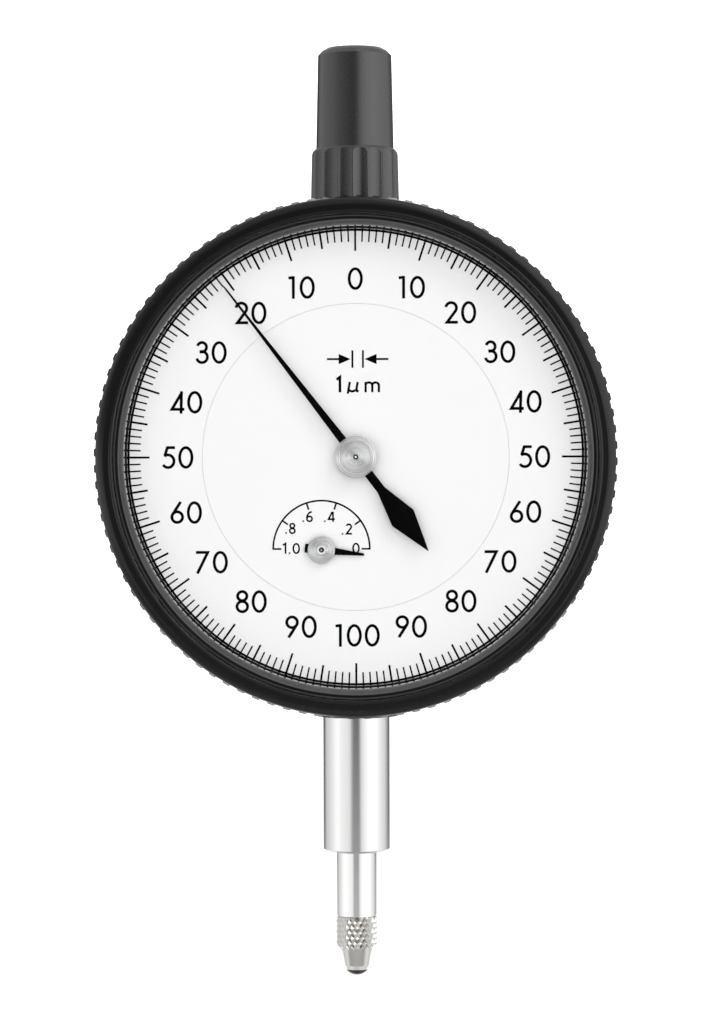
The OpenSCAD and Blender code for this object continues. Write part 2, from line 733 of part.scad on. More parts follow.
// Sleeve of pointed diamonds that reaches at least to `top`. Points where the sum of the
// steps is even are peaks, and the grooves join the rest.
module diamond_knurl(bottom, top) {
    around = 2 * diamonds;
    row = PI * knurl_d / around / tan(diamond_lean);
    up = ceil((top - bottom) / row);
    points = [for (j = [0:up]) for (i = [0:around - 1])
        let (a = 360 * i / around, r = knurl_r - ((i + j) % 2 == 0 ? 0 : knurl_depth))
        [r * cos(a), r * sin(a), bottom + j * row]];
    foot = len(points);
    polyhedron(
        points = concat(points, [[0, 0, bottom], [0, 0, bottom + up * row]]),
        faces = concat(
            [for (i = [0:around - 1]) [foot, i, (i + 1) % around]],
            [for (i = [0:around - 1]) [foot + 1, around * up + (i + 1) % around, around * up + i]],
            [for (j = [0:up - 1]) for (i = [0:around - 1])
                let (a = around * j + i, b = around * j + (i + 1) % around, c = a + around, d = b + around)
                for (f = (i + j) % 2 == 0 ? [[a, c, b], [b, c, d]] : [[a, c, d], [a, d, b]]) f]));
}

module contact_ball() {
    color(steel) translate([0, 0, point_tip + ball_d / 2]) sphere(d = ball_d);
}

// --- Bezel and what turns with it ---

module bezel() {
    lip_r = crystal_r + 0.05;
    shoulder = 1;
    face_f = bezel_front - 0.2;
    // Rounded bead beside the crystal, from the flat face in to the lip
    bead = [[0.5, -0.2], [0.44, -0.08], [0.32, -0.015], [0.18, 0], [0.06, -0.05], [0, -0.16]];
    color(black_plastic) on_dial() {
        rotate_extrude() difference() {
            union() {
                polygon(concat([[bezel_in_r, bezel_rear], [bezel_core_r - 0.4, bezel_rear],
                    [bezel_core_r, bezel_rear + 0.4], [bezel_core_r, face_f - shoulder],
                    [bezel_core_r - shoulder, face_f]], [for (p = bead) [lip_r + p[0], bezel_front + p[1]]],
                    [[lip_r, dial_f], [ledge_r, dial_f], [ledge_r, ledge_f], [bezel_in_r, ledge_f]]));
                translate([bezel_core_r - shoulder, face_f - shoulder]) intersection() {
                    circle(r = shoulder);
                    square(shoulder);
                }
            }
            translate([bezel_in_r - 1, wire_f - groove_w / 2]) square([1.5, groove_w]);
            translate([lip_r - 1, gasket_f]) square([1.5, gasket_t]);
        }
        bezel_grip();
    }
}

// Ring of flat-topped lobes that fade out on the bezel's shoulder
module bezel_grip() {
    pitch = 360 / lobes;
    crest = 0.19;
    foot = 0.33;
    sunk = 0.15;
    first = 0.69;
    lobe = [[-foot, -sunk], [-crest, lobe_h], [crest, lobe_h], [foot, -sunk]];
    outer_r = bezel_r + eps;
    intersection() {
        translate([0, 0, band_f[0]]) linear_extrude(band_f[1] - band_f[0]) difference() {
            polygon([for (k = [0:lobes - 1]) for (p = lobe)
                polar(bezel_core_r + p[1], (k + first + p[0]) * pitch)]);
            circle(r = bezel_core_r - 0.6);
        }
        rotate_extrude() polygon([[bezel_core_r - 1, band_f[0]], [bezel_core_r, band_f[0]],
            [outer_r, band_f[0] + 0.35], [outer_r, band_f[1] - 1.7], [outer_r - 0.1, band_f[1] - 1],
            [bezel_core_r - 0.14, band_f[1]], [bezel_core_r - 1, band_f[1]]]);
    }
}

module crystal() {
    inner_r = crystal_r - crystal_rim;
    draft = 0.12;
    corner = 0.15;
    bevel = 0.55;
    color([0.85, 0.9, 0.92, 0.35]) on_dial() rotate_extrude() polygon([
        [0, window_rear], [inner_r + draft - corner, window_rear], [inner_r + draft, window_rear - corner],
        [inner_r, dial_face], [crystal_r, dial_face], [crystal_r, window_front - bevel],
        [crystal_r - bevel, window_front], [0, window_front]]);
}

module crystal_gasket() {
    color(rubber) on_dial() rotate_extrude()
        translate([crystal_r + 0.06, gasket_f + 0.05]) square([0.45, gasket_t - 0.1]);
}

module dial_ring() {
    color(dial_white) on_dial() translate([0, 0, dial_f]) linear_extrude(dial_t) difference() {
        circle(r = crystal_r - 0.05);
        circle(d = centre_dial_d + 0.2);
    }
}

// --- Gear train ---

module rack_pinion() {
    color(steel) on_dial() arbor(rack_at, rack_leaves, rack_module, -1.3, 2.6, 0,
        cock_f + plate_t, front_plate_f, deck_f - 0.2);
}

module rack_wheel() {
    color(brass) on_dial() wheel(rack_at, rack_wheel_teeth, layer_a, 0);
}

module second_pinion() {
    color(steel) on_dial() arbor(second_at, pinion_leaves, wheel_module, layer_a - 0.2, pinion_len,
        second_pinion_turn, rear_plate_f + plate_t, front_plate_f, deck_f - 0.2);
}

module second_wheel() {
    color(brass) on_dial() wheel(second_at, second_wheel_teeth, layer_b, 0);
}

module centre_pinion() {
    color(steel) on_dial() arbor(centre_at, pinion_leaves, wheel_module, layer_b - 0.2, pinion_len,
        centre_pinion_turn, rear_plate_f + plate_t, front_plate_f, pointer_f + hand_t + boss_t - tip_drop);
}

module counter_arbor() {
    color(steel) on_dial() arbor(counter_at, 0, wheel_module, 0, 0, 0,
        rear_plate_f + plate_t, front_plate_f, small_f + hand_t + small_boss_t - tip_drop);
}

module counter_wheel() {
    color(brass) on_dial() wheel(counter_at, counter_wheel_teeth, layer_b, counter_wheel_turn);
}

module hairspring_collet() {
    color(brass) on_dial() difference() {
        bar(counter_at, wheel_hub_r, hairspring_f - 0.1, hairspring_f + strip_h + 0.1);
        bar(counter_at, shaft_r + seat_fit, hairspring_f - 1, hairspring_f + strip_h + 1);
    }
}

// --- Pointers ---

module pointer() {
    tip = [[0.77 * pointer_reach, 0.17], [0.94 * pointer_reach, 0.09], [pointer_reach, 0.04]];
    tail = [[-tail_reach, 0.04], [-0.65 * tail_reach, 1.57], [-0.35 * tail_reach, 0.52], [-0.8, 0.52]];
    color([0.05, 0.05, 0.05]) on_dial() translate([0, 0, pointer_f]) rotate(pointer_rest + 90)
        hand_plate(concat(tail, [[0.8, 0.51]], tip), 1.4, pointer_eye_r);
}

module pointer_boss() {
    color(steel) on_dial() translate([0, 0, pointer_f])
        hand_boss(pointer_boss_d / 2, boss_t, pointer_eye_r - seat_fit, 0.7, 0.03);
}

module small_hand() {
    outline = [[-0.39 * small_reach, 0.52], [-0.6, 0.48], [0.6, 0.48], [small_reach, 0.13]];
    color([0.05, 0.05, 0.05]) on_dial() translate([counter_at[0], counter_at[1], small_f])
        rotate(small_rest) hand_plate(outline, 1, small_eye_r);
}

module small_boss() {
    color(steel) on_dial() translate([counter_at[0], counter_at[1], small_f])
        hand_boss(small_boss_d / 2, small_boss_t, small_eye_r - seat_fit, 0.3, 0.15);
}

// Flat hand along +X, from the upper half of its outline, with an eye for its boss
module hand_plate(half, eye_r, hole_r) {
    last = len(half) - 1;
    difference() {
        union() {
            cylinder(r = eye_r, h = hand_t);
            linear_extrude(hand_t)
                polygon(concat(half, [for (i = [last:-1:0]) [half[i][0], -half[i][1]]]));
        }
        translate([0, 0, -1]) cylinder(r = hole_r, h = hand_t + 2);
    }
}

// Turned boss: a disc in front of the hand and a pipe through its eye, pressed on the pivot,
// with a countersink round the pivot's end
module hand_boss(disc_r, disc_t, pipe_r, pipe_len, sink) {
    hole = pivot_r + seat_fit;
    face = hand_t + disc_t;
    edge = 0.15;
    rotate_extrude() polygon([[hole, -pipe_len], [pipe_r, -pipe_len], [pipe_r, hand_t], [disc_r, hand_t],
        [disc_r, face - edge], [disc_r - edge, face], [hole + sink, face], [hole, face - sink]]);
}

// --- Cap ---

// Moulded cap over the top of the spindle, with a fluted collar to turn it by
module cap() {
    top = cap_foot + cap_h;
    r_foot = collar_d / 2;
    lean = 0.17;
    r_collar = r_foot - lean;
    r_top = cap_d / 2;
    r_mid = r_top + 0.24;
    collar_top = cap_foot + collar_h;
    color(black_plastic) difference() {
        rotate_extrude() polygon([[0, cap_foot], [r_foot, cap_foot], [r_collar, collar_top - 0.8],
            [r_collar - 0.12, collar_top - 0.45], [r_mid + 0.1, collar_top - 0.1], [r_mid, collar_top],
            [r_top, top - 0.85], [r_top - 0.45, top - 0.36], [r_top - 1, top], [0, top]]);
        collar_flutes(r_foot, atan(lean / collar_h));
        translate([0, 0, cap_foot - 1]) cylinder(r = neck_r + 2 * running_fit, h = neck_len + 1.5);
        translate([0, 0, cap_foot - 1]) cylinder(r = spindle_r + cap_room, h = cap_h - cap_roof + 1);
    }
}

// Round cutters that leave a narrow crest between two flutes and lean in with the collar
module collar_flutes(r, lean) {
    crest = 0.1;
    first = 0.85;
    half = r * sin(180 / flutes) - crest / 2;
    sag = flute_depth - r * (1 - cos(180 / flutes));
    cutter_r = (half * half + sag * sag) / (2 * sag);
    for (k = [0:flutes - 1]) rotate(360 * (k + first) / flutes)
        translate([r - flute_depth + cutter_r, 0, cap_foot]) rotate([0, -lean, 0])
            translate([0, 0, -1]) cylinder(r = cutter_r, h = collar_h + 2);
}

case();
stem();
spindle_bushes();
top_neck();
back_cover();
cover_gasket();
cover_screws();
front_plate();
movement_screws();
pillars();
rear_plate();
plate_screws();
rack_cock();
cock_pillars();
cock_screws();
jewels();
guide_rail();
spring_post();
tension_spring();
hairspring();
hairspring_stud();
centre_dial();
retaining_ring();
spindle();
guide_pin();
contact_point();
contact_ball();
bezel();
crystal();
crystal_gasket();
dial_ring();
rack_pinion();
rack_wheel();
second_pinion();
second_wheel();
centre_pinion();
pointer();
pointer_boss();
counter_arbor();
counter_wheel();
hairspring_collet();
small_hand();
small_boss();
cap();
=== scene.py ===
# %% [markdown]
# # Finishing a dial indicator in Blender
# A dial indicator measures small distances: its spindle slides up, a rack and a gear train turn that
# slide into a pointer's turn, and a printed dial gives the reading. The solid pieces come from a
# CAD model, which is the fixed frame of this lesson. What is added here is what ink and finishing
# add in a factory: the printed scales, the paint, the ground and turned metal, and the clear crystal.
# Sizes are written in millimetres and made metres in one place, where a drawing becomes a shape.
# First the frame is loaded and its box is kept, to prove at the end that nothing has grown.

# %% The frame
import bpy
import json
import math
import numpy as np
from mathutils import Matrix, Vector


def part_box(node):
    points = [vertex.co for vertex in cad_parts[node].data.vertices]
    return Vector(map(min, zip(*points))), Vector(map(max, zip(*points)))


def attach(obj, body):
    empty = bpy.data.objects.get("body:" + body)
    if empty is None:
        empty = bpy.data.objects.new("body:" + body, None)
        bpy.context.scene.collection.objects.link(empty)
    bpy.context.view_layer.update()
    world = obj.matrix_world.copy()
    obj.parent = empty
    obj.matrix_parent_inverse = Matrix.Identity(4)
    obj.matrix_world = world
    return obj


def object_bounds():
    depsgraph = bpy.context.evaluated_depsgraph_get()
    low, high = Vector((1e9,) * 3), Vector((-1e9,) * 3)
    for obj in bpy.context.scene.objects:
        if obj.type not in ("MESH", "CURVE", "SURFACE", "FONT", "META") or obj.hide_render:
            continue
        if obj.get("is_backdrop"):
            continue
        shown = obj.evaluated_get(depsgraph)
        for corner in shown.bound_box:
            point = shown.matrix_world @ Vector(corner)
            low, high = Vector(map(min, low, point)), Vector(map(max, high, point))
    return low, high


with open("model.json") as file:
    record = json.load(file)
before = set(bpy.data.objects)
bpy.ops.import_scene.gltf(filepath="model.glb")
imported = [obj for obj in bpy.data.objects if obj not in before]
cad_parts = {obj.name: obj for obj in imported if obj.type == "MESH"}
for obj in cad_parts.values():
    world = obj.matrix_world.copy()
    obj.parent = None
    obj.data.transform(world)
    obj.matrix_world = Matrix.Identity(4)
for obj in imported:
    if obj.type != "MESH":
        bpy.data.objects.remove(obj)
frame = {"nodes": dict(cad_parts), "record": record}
cad_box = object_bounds()
nodes = frame["nodes"]
print(len(nodes), "CAD nodes; box in mm:", [[round(1000 * c, 2) for c in corner] for corner in cad_box])

# %% [markdown]
# ## The dial's own coordinates
# A dial is easiest to think of as a drawing: across, up, and forward, in millimetres from its centre.
# On the gauge, across is X, up is Z and forward is minus Y. The centre is that of the dial ring, and
# its face is the ring's foremost plane, so both are read from the frame, not typed in.

# %% From a drawing on the dial to a place in the gauge
MM = 0.001
ring_low, ring_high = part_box("dial_ring")
dial_z = (ring_low.z + ring_high.z) / 2 / MM
dial_face = -ring_low.y / MM
dial_r = (ring_high.x - ring_low.x) / 2 / MM


def on_dial(across, up, forward):
    """Millimetres of the drawing become metres of the gauge: x is across, y is minus forward, and z is
    up plus the height of the dial's centre."""
    across, up, forward = np.broadcast_arrays(across, up, forward)
    return np.stack([across, -forward, up + dial_z], axis=-1) * MM


print(f"dial centre {dial_z:.2f} mm up, face {dial_face:.2f} mm forward, radius {dial_r:.2f} mm")

# %% [markdown]
# ## One way to make a mesh
# Every new shape is a grid of points: so many rings, each with the same number of points. A mesh
# could be built face by face, but a grid can be turned into faces all at once, because a point's
# four neighbours are always one step away in the grid. Several grids can share one mesh, as the
# many strokes of one printing do.

# %% A grid of points as a closed skin
def skin(grid, loop):
    """Quads between each ring of a (rings, points, 3) grid and the next; the points of a ring always
    join in a loop. With `loop` the last ring meets the first. Without it the two end rings, which
    have four points each, are faces themselves."""
    rings, points = grid.shape[:2]
    number = np.arange(rings * points).reshape(rings, points)
    here, there = (number, np.roll(number, -1, 0)) if loop else (number[:-1], number[1:])
    sides = np.stack([here, np.roll(here, -1, 1), np.roll(there, -1, 1), there], -1).reshape(-1, 4)
    ends = np.empty((0, 4), int) if loop else np.stack([number[0][::-1], number[-1]])
    return grid.reshape(-1, 3), np.concatenate([sides, ends])


def volume(points, quads):
    """A closed mesh's volume: each quad's two triangles give a sixth of a triple product each."""
    a, b, c, d = (points[quads[:, k]] for k in range(4))
    return (np.einsum("ij,ij->", a, np.cross(b, c)) + np.einsum("ij,ij->", a, np.cross(c, d))) / 6


def piece(name, body, skins):
    """One object from several skins. Each is turned the right way out by the sign of its volume."""
    points, quads, start = [], [], 0
    for p, q in skins:
        points.append(p)
        quads.append((q if volume(p, q) > 0 else q[:, ::-1]) + start)
        start += len(p)
    points, quads = np.concatenate(points), np.concatenate(quads)
    assert np.isfinite(points).all(), f"{name} has a point twice in a path"
    mesh = bpy.data.meshes.new(name)
    mesh.from_pydata(points, [], quads)
    mesh.validate()
    made = bpy.data.objects.new(name, mesh)
    bpy.context.scene.collection.objects.link(made)
    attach(made, body)
    print(f"{name}: {len(quads)} faces, {volume(points, quads) * 1e9:.3f} cubic mm, rides on {body}")
    return made


# %% [markdown]
# ## A stroke of ink
# Printed figures and scales are strokes of one width. Ink lies a few hundredths of a millimetre
# proud of the dial, so a stroke is a very flat bar: a rectangle carried along a path. At a corner
# the two edges must meet, and the mitre below keeps the stroke's width on both sides of it. The
# width may change along the path, which also gives arrow heads.

# %% A rectangle carried along a path
INK = 0.015     # how far the ink stands above the dial, in mm
SUNK = 0.01     # how far it reaches into the dial, so that no gap is left under it


def stroke(path, width, loop=False, low=-SUNK, high=INK):
    """Each point moves half the width to either side along the mitre: the sum of the unit normals of
    the two lines that meet there, over one plus their dot product."""
    path = np.asarray(path, float)
    lines = np.roll(path, -1, 0) - path if loop else np.diff(path, axis=0)
    lines = lines / np.linalg.norm(lines, axis=1, keepdims=True)
    normals = np.stack([-lines[:, 1], lines[:, 0]], -1)
    before = np.roll(normals, 1, 0) if loop else np.concatenate([normals[:1], normals])
    after = normals if loop else np.concatenate([normals, normals[-1:]])
    mitre = (before + after) / (1 + np.sum(before * after, axis=1, keepdims=True))
    side = mitre * np.reshape(width, (-1, 1)) / 2
    left, right = path + side, path - side
    corners = [(left, low), (right, low), (right, high), (left, high)]
    grid = np.stack([on_dial(p[:, 0], p[:, 1], dial_face + f) for p, f in corners], axis=1)
    return skin(grid, loop)


def arc(centre, radii, start, end, steps=20):
    """Points of an ellipse: the centre plus (rx cos t, ry sin t), t from start to end in degrees."""
    t = np.radians(np.linspace(start, end, steps))
    return np.stack([centre[0] + radii[0] * np.cos(t), centre[1] + radii[1] * np.sin(t)], -1)


def round_at(radius, degrees):
    """A point on a circle about the dial's centre, degrees counted from the top, clockwise."""
    return np.array([radius * math.sin(math.radians(degrees)), radius * math.cos(math.radians(degrees))])


# %% [markdown]
# ## The main scale
# Two hundred divisions stand round the edge, longer at every fifth and every tenth, where the line
# is also a little bolder. They could be two hundred copies of one object, but as an array they are
# one step: a box's eight corners for every angle at once. A fine ring closes them at the edge, and
# a short dash carries each of them on past the ring, to where the crystal's wall stands on the dial.

# %% Two hundred divisions as one array
DIVISIONS = 200
TICK_OUT = 26.42                               # outer end of every line, and inner edge of the ring
TICK_IN = {1: 25.15, 5: 24.60, 10: 24.08}      # inner ends: of each, every fifth and every tenth
TICK_WIDTH = {1: 0.178, 5: 0.235, 10: 0.235}
EDGE_OUT = 26.68                               # outer edge of the ring
DASH_OUT, DASH_WIDTH = 27.04, 0.2


def divisions(angles, inner, outer, width):
    """Boxes round the dial: along = (sin a, cos a), across = (cos a, -sin a), and a corner is
    radius * along plus or minus half the width * across, at the ink's lower or upper level."""
    along = np.stack([np.sin(angles), np.cos(angles)], -1)[:, None]
    across = np.stack([np.cos(angles), -np.sin(angles)], -1)[:, None]
    radius = np.array([inner, outer])[None, :, None, None]
    offset = width / 2 * np.array([1, -1, -1, 1])[None, None, :, None]
    level = np.array([-SUNK, -SUNK, INK, INK]) + dial_face
    flat = radius * along[:, None] + offset * across[:, None]
    grid = on_dial(flat[..., 0], flat[..., 1], level)
    return [skin(bar, False) for bar in grid]


every = np.arange(DIVISIONS)
angles = np.radians(every * (360 / DIVISIONS))
step = np.where(every % 10 == 0, 10, np.where(every % 5 == 0, 5, 1))
scale_marks = []
for kind in TICK_IN:
    scale_marks += divisions(angles[step == kind], TICK_IN[kind], TICK_OUT, TICK_WIDTH[kind])
scale_marks += divisions(angles, EDGE_OUT, DASH_OUT, DASH_WIDTH)
edge_r = (TICK_OUT + EDGE_OUT) / 2
scale_marks.append(stroke(arc((0, 0), (edge_r, edge_r), 0, 358, 180), EDGE_OUT - TICK_OUT, loop=True))
main_scale = piece("main_scale", "bezel", scale_marks)

# %% [markdown]
# ## Figures drawn with a compass
# The figures are a geometric alphabet: circles, ellipses and straight lines of one width. A font
# would have to be found on every computer, and its outlines belong to someone. Drawn from arcs, a
# figure is a few lines of code. Each is given in units of its own height, along the middle of the
# stroke, with its width, so that figures can be set side by side.

# %% The ten figures of the main scale
PEN = 0.129          # stroke width over height
LOW, TOP = PEN / 2, 1 - PEN / 2


def join(*parts):
    """One path from points and paths laid end to end."""
    return np.concatenate([np.atleast_2d(p) for p in parts])


def touching(point, centre, radius, side):
    """The point where the line from `point` just touches a circle: it lies on the circle at the
    direction back to the point, turned by the angle whose cosine is radius over distance."""
    back = np.subtract(point, centre)
    turn = math.atan2(back[1], back[0]) + side * math.acos(radius / np.hypot(*back))
    return np.add(centre, radius * np.array([math.cos(turn), math.sin(turn)])), math.degrees(turn)


def six():
    """A ring, and a straight line that touches it on the left and runs up to the right."""
    centre, radius = (0.30, 0.30), 0.30 - PEN / 2
    tip = (0.455, 0.975)
    at, _ = touching(tip, centre, radius, 1)
    return [(arc(centre, (radius, radius), 0, 352, 46), True), (join(tip, at), False)]


def two():
    """Part of a ring, the straight line that leaves it towards the lower left, and the base."""
    centre, radius, corner = (0.305, 0.70), 0.30 - PEN / 2, (0.125, LOW)
    at, angle = touching(corner, centre, radius, 1)
    return [(join(arc(centre, (radius, radius), 172, angle, 26), corner, (0.60, LOW)), False)]


def turned(strokes, width):
    """The same strokes turned by half a turn about the middle of the figure."""
    return [(np.array([width, 1.0]) - path, loop) for path, loop in strokes]


FIGURES = {
    "0": (0.67, [(arc((0.335, 0.5), (0.2705, 0.4355), 0, 355, 60), True)]),
    "1": (0.50, [(join((0.345, 0), (0.345, 1.0)), False), (join((0.13, 0.915), (0.345, 0.945)), False)]),
    "2": (0.62, two()),
    "3": (0.585, [(join(arc((0.285, 0.735), (0.2, 0.21), 165, -90, 22), (0.18, 0.525)), False),
                  (join((0.18, 0.535), arc((0.285, 0.30), (0.24, 0.245), 90, -165, 26)), False)]),
    "4": (0.66, [(join((0.66, 0.19), (0.11, 0.19), (0.545, 0.93)), False),
                 (join((0.51, 0), (0.535, 0.99)), False)]),
    "5": (0.63, [(join((0.61, TOP), (0.275, TOP), (0.155, 0.56)), False),
                 (arc((0.30, 0.335), (0.265, 0.28), 128, -145, 30), False)]),
    "6": (0.60, six()),
    "7": (0.64, [(join((0.02, TOP), (0.545, TOP), (0.085, 0.0)), False)]),
    "8": (0.58, [(arc((0.29, 0.745), (0.205, 0.2), 0, 352, 40), True),
                 (arc((0.29, 0.28), (0.235, 0.226), 0, 352, 44), True)]),
    "9": (0.60, turned(six(), 0.60)),
}
print(len(FIGURES), "figures,", sum(len(strokes) for _, strokes in FIGURES.values()), "strokes")

# %% [markdown]
# ## Setting the figures round the dial
# The scale reads 0 to 100 both ways, so each number stands twice, upright, at its place on a circle.
# It is a repeated drawing, and the only thing that changes is where it stands. The outer scale
# turns with the bezel when the gauge is set to zero, so both the lines and the numbers ride on it.

# %% Numbers on their circle
def set_text(text, centre, height, pen, figures, gap):
    """Strokes of a line of figures: each starts where the last ended, plus a gap, and the whole line
    is moved so that its middle is at the centre. All lengths are in units of the height."""
    widths = [figures[c][0] for c in text]
    left = -(sum(widths) + gap * (len(text) - 1)) / 2
    made = []
    for c, width in zip(text, widths):
        for path, loop in figures[c][1]:
            placed = (path + np.array([left, -0.5])) * height + np.asarray(centre)
            made.append(stroke(placed, pen * height, loop))
        left += width + gap
    return made


NUMBER_R, NUMBER_H = 20.84, 2.64      # radius of the circle they stand on, and their height
NUMBER_GAP = 0.125                    # between two figures, over the height
numbers = []
for value in range(0, 101, 10):
    for side in ((1,) if value in (0, 100) else (1, -1)):
        place = round_at(NUMBER_R, side * value * 360 / DIVISIONS)
        numbers += set_text(str(value), place, NUMBER_H, PEN, FIGURES, NUMBER_GAP)
main_numbers = piece("main_numbers", "bezel", numbers)

# %% [markdown]
# ## The counter's half dial
# The small hand counts the pointer's turns over half a circle. Its scale is printed on the fixed
# middle of the dial, round the counter's arbor, whose place is the middle of the small boss in the
# frame. Its lettering is a plainer one with an open six and a slanted flag on the one.

# %% Arc, divisions and figures of the counter
boss_low, boss_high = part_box("small_boss")
counter = np.array([(boss_low.x + boss_high.x) / 2, (boss_low.z + boss_high.z) / 2]) / MM - (0, dial_z)
print_middle = counter + (0, 0.1)           # the print sits a tenth above the arbor
ARC_R, ARC_PEN = 5.64, 0.205                # the half circle, and its stroke
FOOT, TICK = 0.95, 0.82                     # its two feet, and the divisions inside it
LABEL_H, LABEL_PEN, LABEL_GAP = 1.26, 0.16, 0.22
SMALL = {
    **FIGURES,
    "1": (0.36, [(join((0.03, 0.80), (0.28, 0.96), (0.28, 0.0)), False)]),
    "2": (0.60, [(join(arc((0.29, 0.72), (0.23, 0.225), 160, -38, 20), (0.08, 0.07), (0.58, 0.07)),
                  False)]),
    "4": (0.66, [(join((0.64, 0.25), (0.06, 0.25), (0.40, 0.93)), False),
                 (join((0.47, 0), (0.47, 0.95)), False)]),
    "6": (0.60, [(arc((0.30, 0.29), (0.24, 0.23), 0, 352, 32), True),
                 (arc((0.56, 0.36), (0.50, 0.58), 94, 186, 16), False)]),
    ".": (0.14, [(join((0.0, 0.07), (0.14, 0.07)), False)]),
}
LABELS = [("0", 4.03, 0.06), (".2", 2.98, 2.30), (".4", 0.95, 3.78),         # and where each middle
          (".6", -1.62, 3.78), (".8", -3.63, 2.40), ("1.0", -3.54, 0.06)]     # stands from the print's
half = arc(print_middle, (ARC_R, ARC_R), 0, 180, 60)
marks = [stroke(join(print_middle + (ARC_R - FOOT, 0), half, print_middle - (ARC_R - FOOT, 0)), ARC_PEN)]
for degrees in (36, 72, 108, 144):
    out = np.array([math.cos(math.radians(degrees)), math.sin(math.radians(degrees))])
    marks.append(stroke(join(print_middle + out * ARC_R, print_middle + out * (ARC_R - TICK)), ARC_PEN))
for text, across, up in LABELS:
    marks += set_text(text, print_middle + (across, up), LABEL_H, LABEL_PEN, SMALL, LABEL_GAP)
counter_scale = piece("counter_scale", "frame", marks)

# %% [markdown]
# ## What one division is worth
# Above the middle stands the mark that says what one division means: two lines with arrows that
# close in on them, and the length below. An arrow head is a stroke whose width falls to nearly
# nothing. The Greek letter is a slanted stem, a bowl and a second stem with a tail.

# %% The mark of one division
MARK_UP, TEXT_UP = 11.44, 8.48              # middles of the mark and of the text, above the dial's
LINES_AT, LINE_HALF, LINE_PEN = (-0.36, 0.87), 1.03, 0.225
ARROWS_AT, HEAD, HEAD_WIDTHS = ((-0.60, 1), (1.10, -1)), 1.36, [1.20, 0.03]
SHAFT, SHAFT_PEN = (2.74, 1.30), 0.23       # the shaft's ends, behind the arrow's tip
marks = [stroke([(x, MARK_UP - LINE_HALF), (x, MARK_UP + LINE_HALF)], LINE_PEN) for x in LINES_AT]
for tip, way in ARROWS_AT:
    marks.append(stroke([(tip - way * HEAD, MARK_UP), (tip, MARK_UP)], HEAD_WIDTHS))
    marks.append(stroke([(tip - way * back, MARK_UP) for back in SHAFT], SHAFT_PEN))


def slanted(path, lean=0.17):
    """A letter leans when each point moves across by its height times the lean."""
    path = np.asarray(path, float)
    return path + np.stack([path[:, 1] * lean, np.zeros(len(path))], -1)


X_HEIGHT = 0.66         # a small letter's height over a capital's
MICRO = [
    slanted(join((0.0, -0.09), (0.0, X_HEIGHT))),
    slanted(join(arc((0.26, 0.26), (0.26, 0.20), 180, 270, 8),
                 arc((0.26, 0.32), (0.25, 0.26), 282, 320, 4))),
    slanted(join((0.50, X_HEIGHT), (0.50, 0.20), (0.56, 0.08), (0.66, 0.06))),
]
METRE = [
    join((0.0, 0.0), (0.0, X_HEIGHT)),
    join(arc((0.21, 0.44), (0.21, 0.18), 170, 0, 14), (0.42, 0.0)),
    join(arc((0.63, 0.44), (0.21, 0.18), 170, 0, 14), (0.84, 0.0)),
]
ONE = join((-2.22, 0.55), (-1.82, 0.86), (-1.82, -0.92))      # in mm, about the middle of the text
TEXT_H, TEXT_PEN, ONE_PEN = 1.84, 0.27, 0.31
for letter, left in ((MICRO, -0.88), (METRE, 1.18)):
    marks += [stroke(path * TEXT_H + (left, TEXT_UP - TEXT_H / 2), TEXT_PEN) for path in letter]
marks.append(stroke(ONE + (0, TEXT_UP), ONE_PEN))
division_mark = piece("division_mark", "frame", marks)

# %% [markdown]
# ## A fine point and a white bead
# The pointer's last few millimetres are ground so that it can be read against one division. The
# point is a stroke too, as high as the hand it ends, laid along the line from the dial's centre to the
# far end of the hand, which is found in the hand's own corners. And the round joint between the fixed
# middle and the turning scale is nearly closed by a bead of white enamel on the edge of the middle.

# %% The pointer's point and the joint's bead
corners = np.empty(3 * len(nodes["pointer"].data.vertices))
nodes["pointer"].data.vertices.foreach_get("co", corners)
corners = corners.reshape(-1, 3)[:, [0, 2]] / MM - (0, dial_z)
distance = np.linalg.norm(corners, axis=1)
far = corners[distance > distance.max() - 0.1].mean(axis=0)
ahead = far / np.linalg.norm(far)
hand_low, hand_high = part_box("pointer")
POINT = [(19.0, 0.34), (22.9, 0.24), (24.6, 0.21), (25.1, 0.12)]      # how far out, and how wide
PROUD = 0.01                                                          # beyond the hand's two faces
point = stroke([r * ahead for r, _ in POINT], [w for _, w in POINT],
               low=-hand_high.y / MM - dial_face - PROUD, high=-hand_low.y / MM - dial_face + PROUD)
pointer_point = piece("pointer_point", "centre_arbor", [point])

middle_low, middle_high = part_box("centre_dial")
BEAD, BEAD_REACH = 0.09, 0.07               # its width, and how much of it stands in the joint
BEAD_LOW, BEAD_HIGH = -0.3, -0.01           # its two faces, from the face of the dial
bead_r = (middle_high.x - middle_low.x) / 2 / MM + BEAD_REACH - BEAD / 2
bead = stroke(arc((0, 0), (bead_r, bead_r), 0, 359, 360), BEAD, loop=True, low=BEAD_LOW, high=BEAD_HIGH)
joint_bead = piece("joint_bead", "frame", [bead])

# %% [markdown]
# ## Finishes: arithmetic on sockets
# A finish is a small formula: a colour, a roughness and a fine relief, each changed a little from
# place to place. In Blender that is a graph of nodes. Written by hand, a graph of ten nodes is a page
# of links, so a small class lets a node's output be used as a number: adding two of them adds a Math
# node.

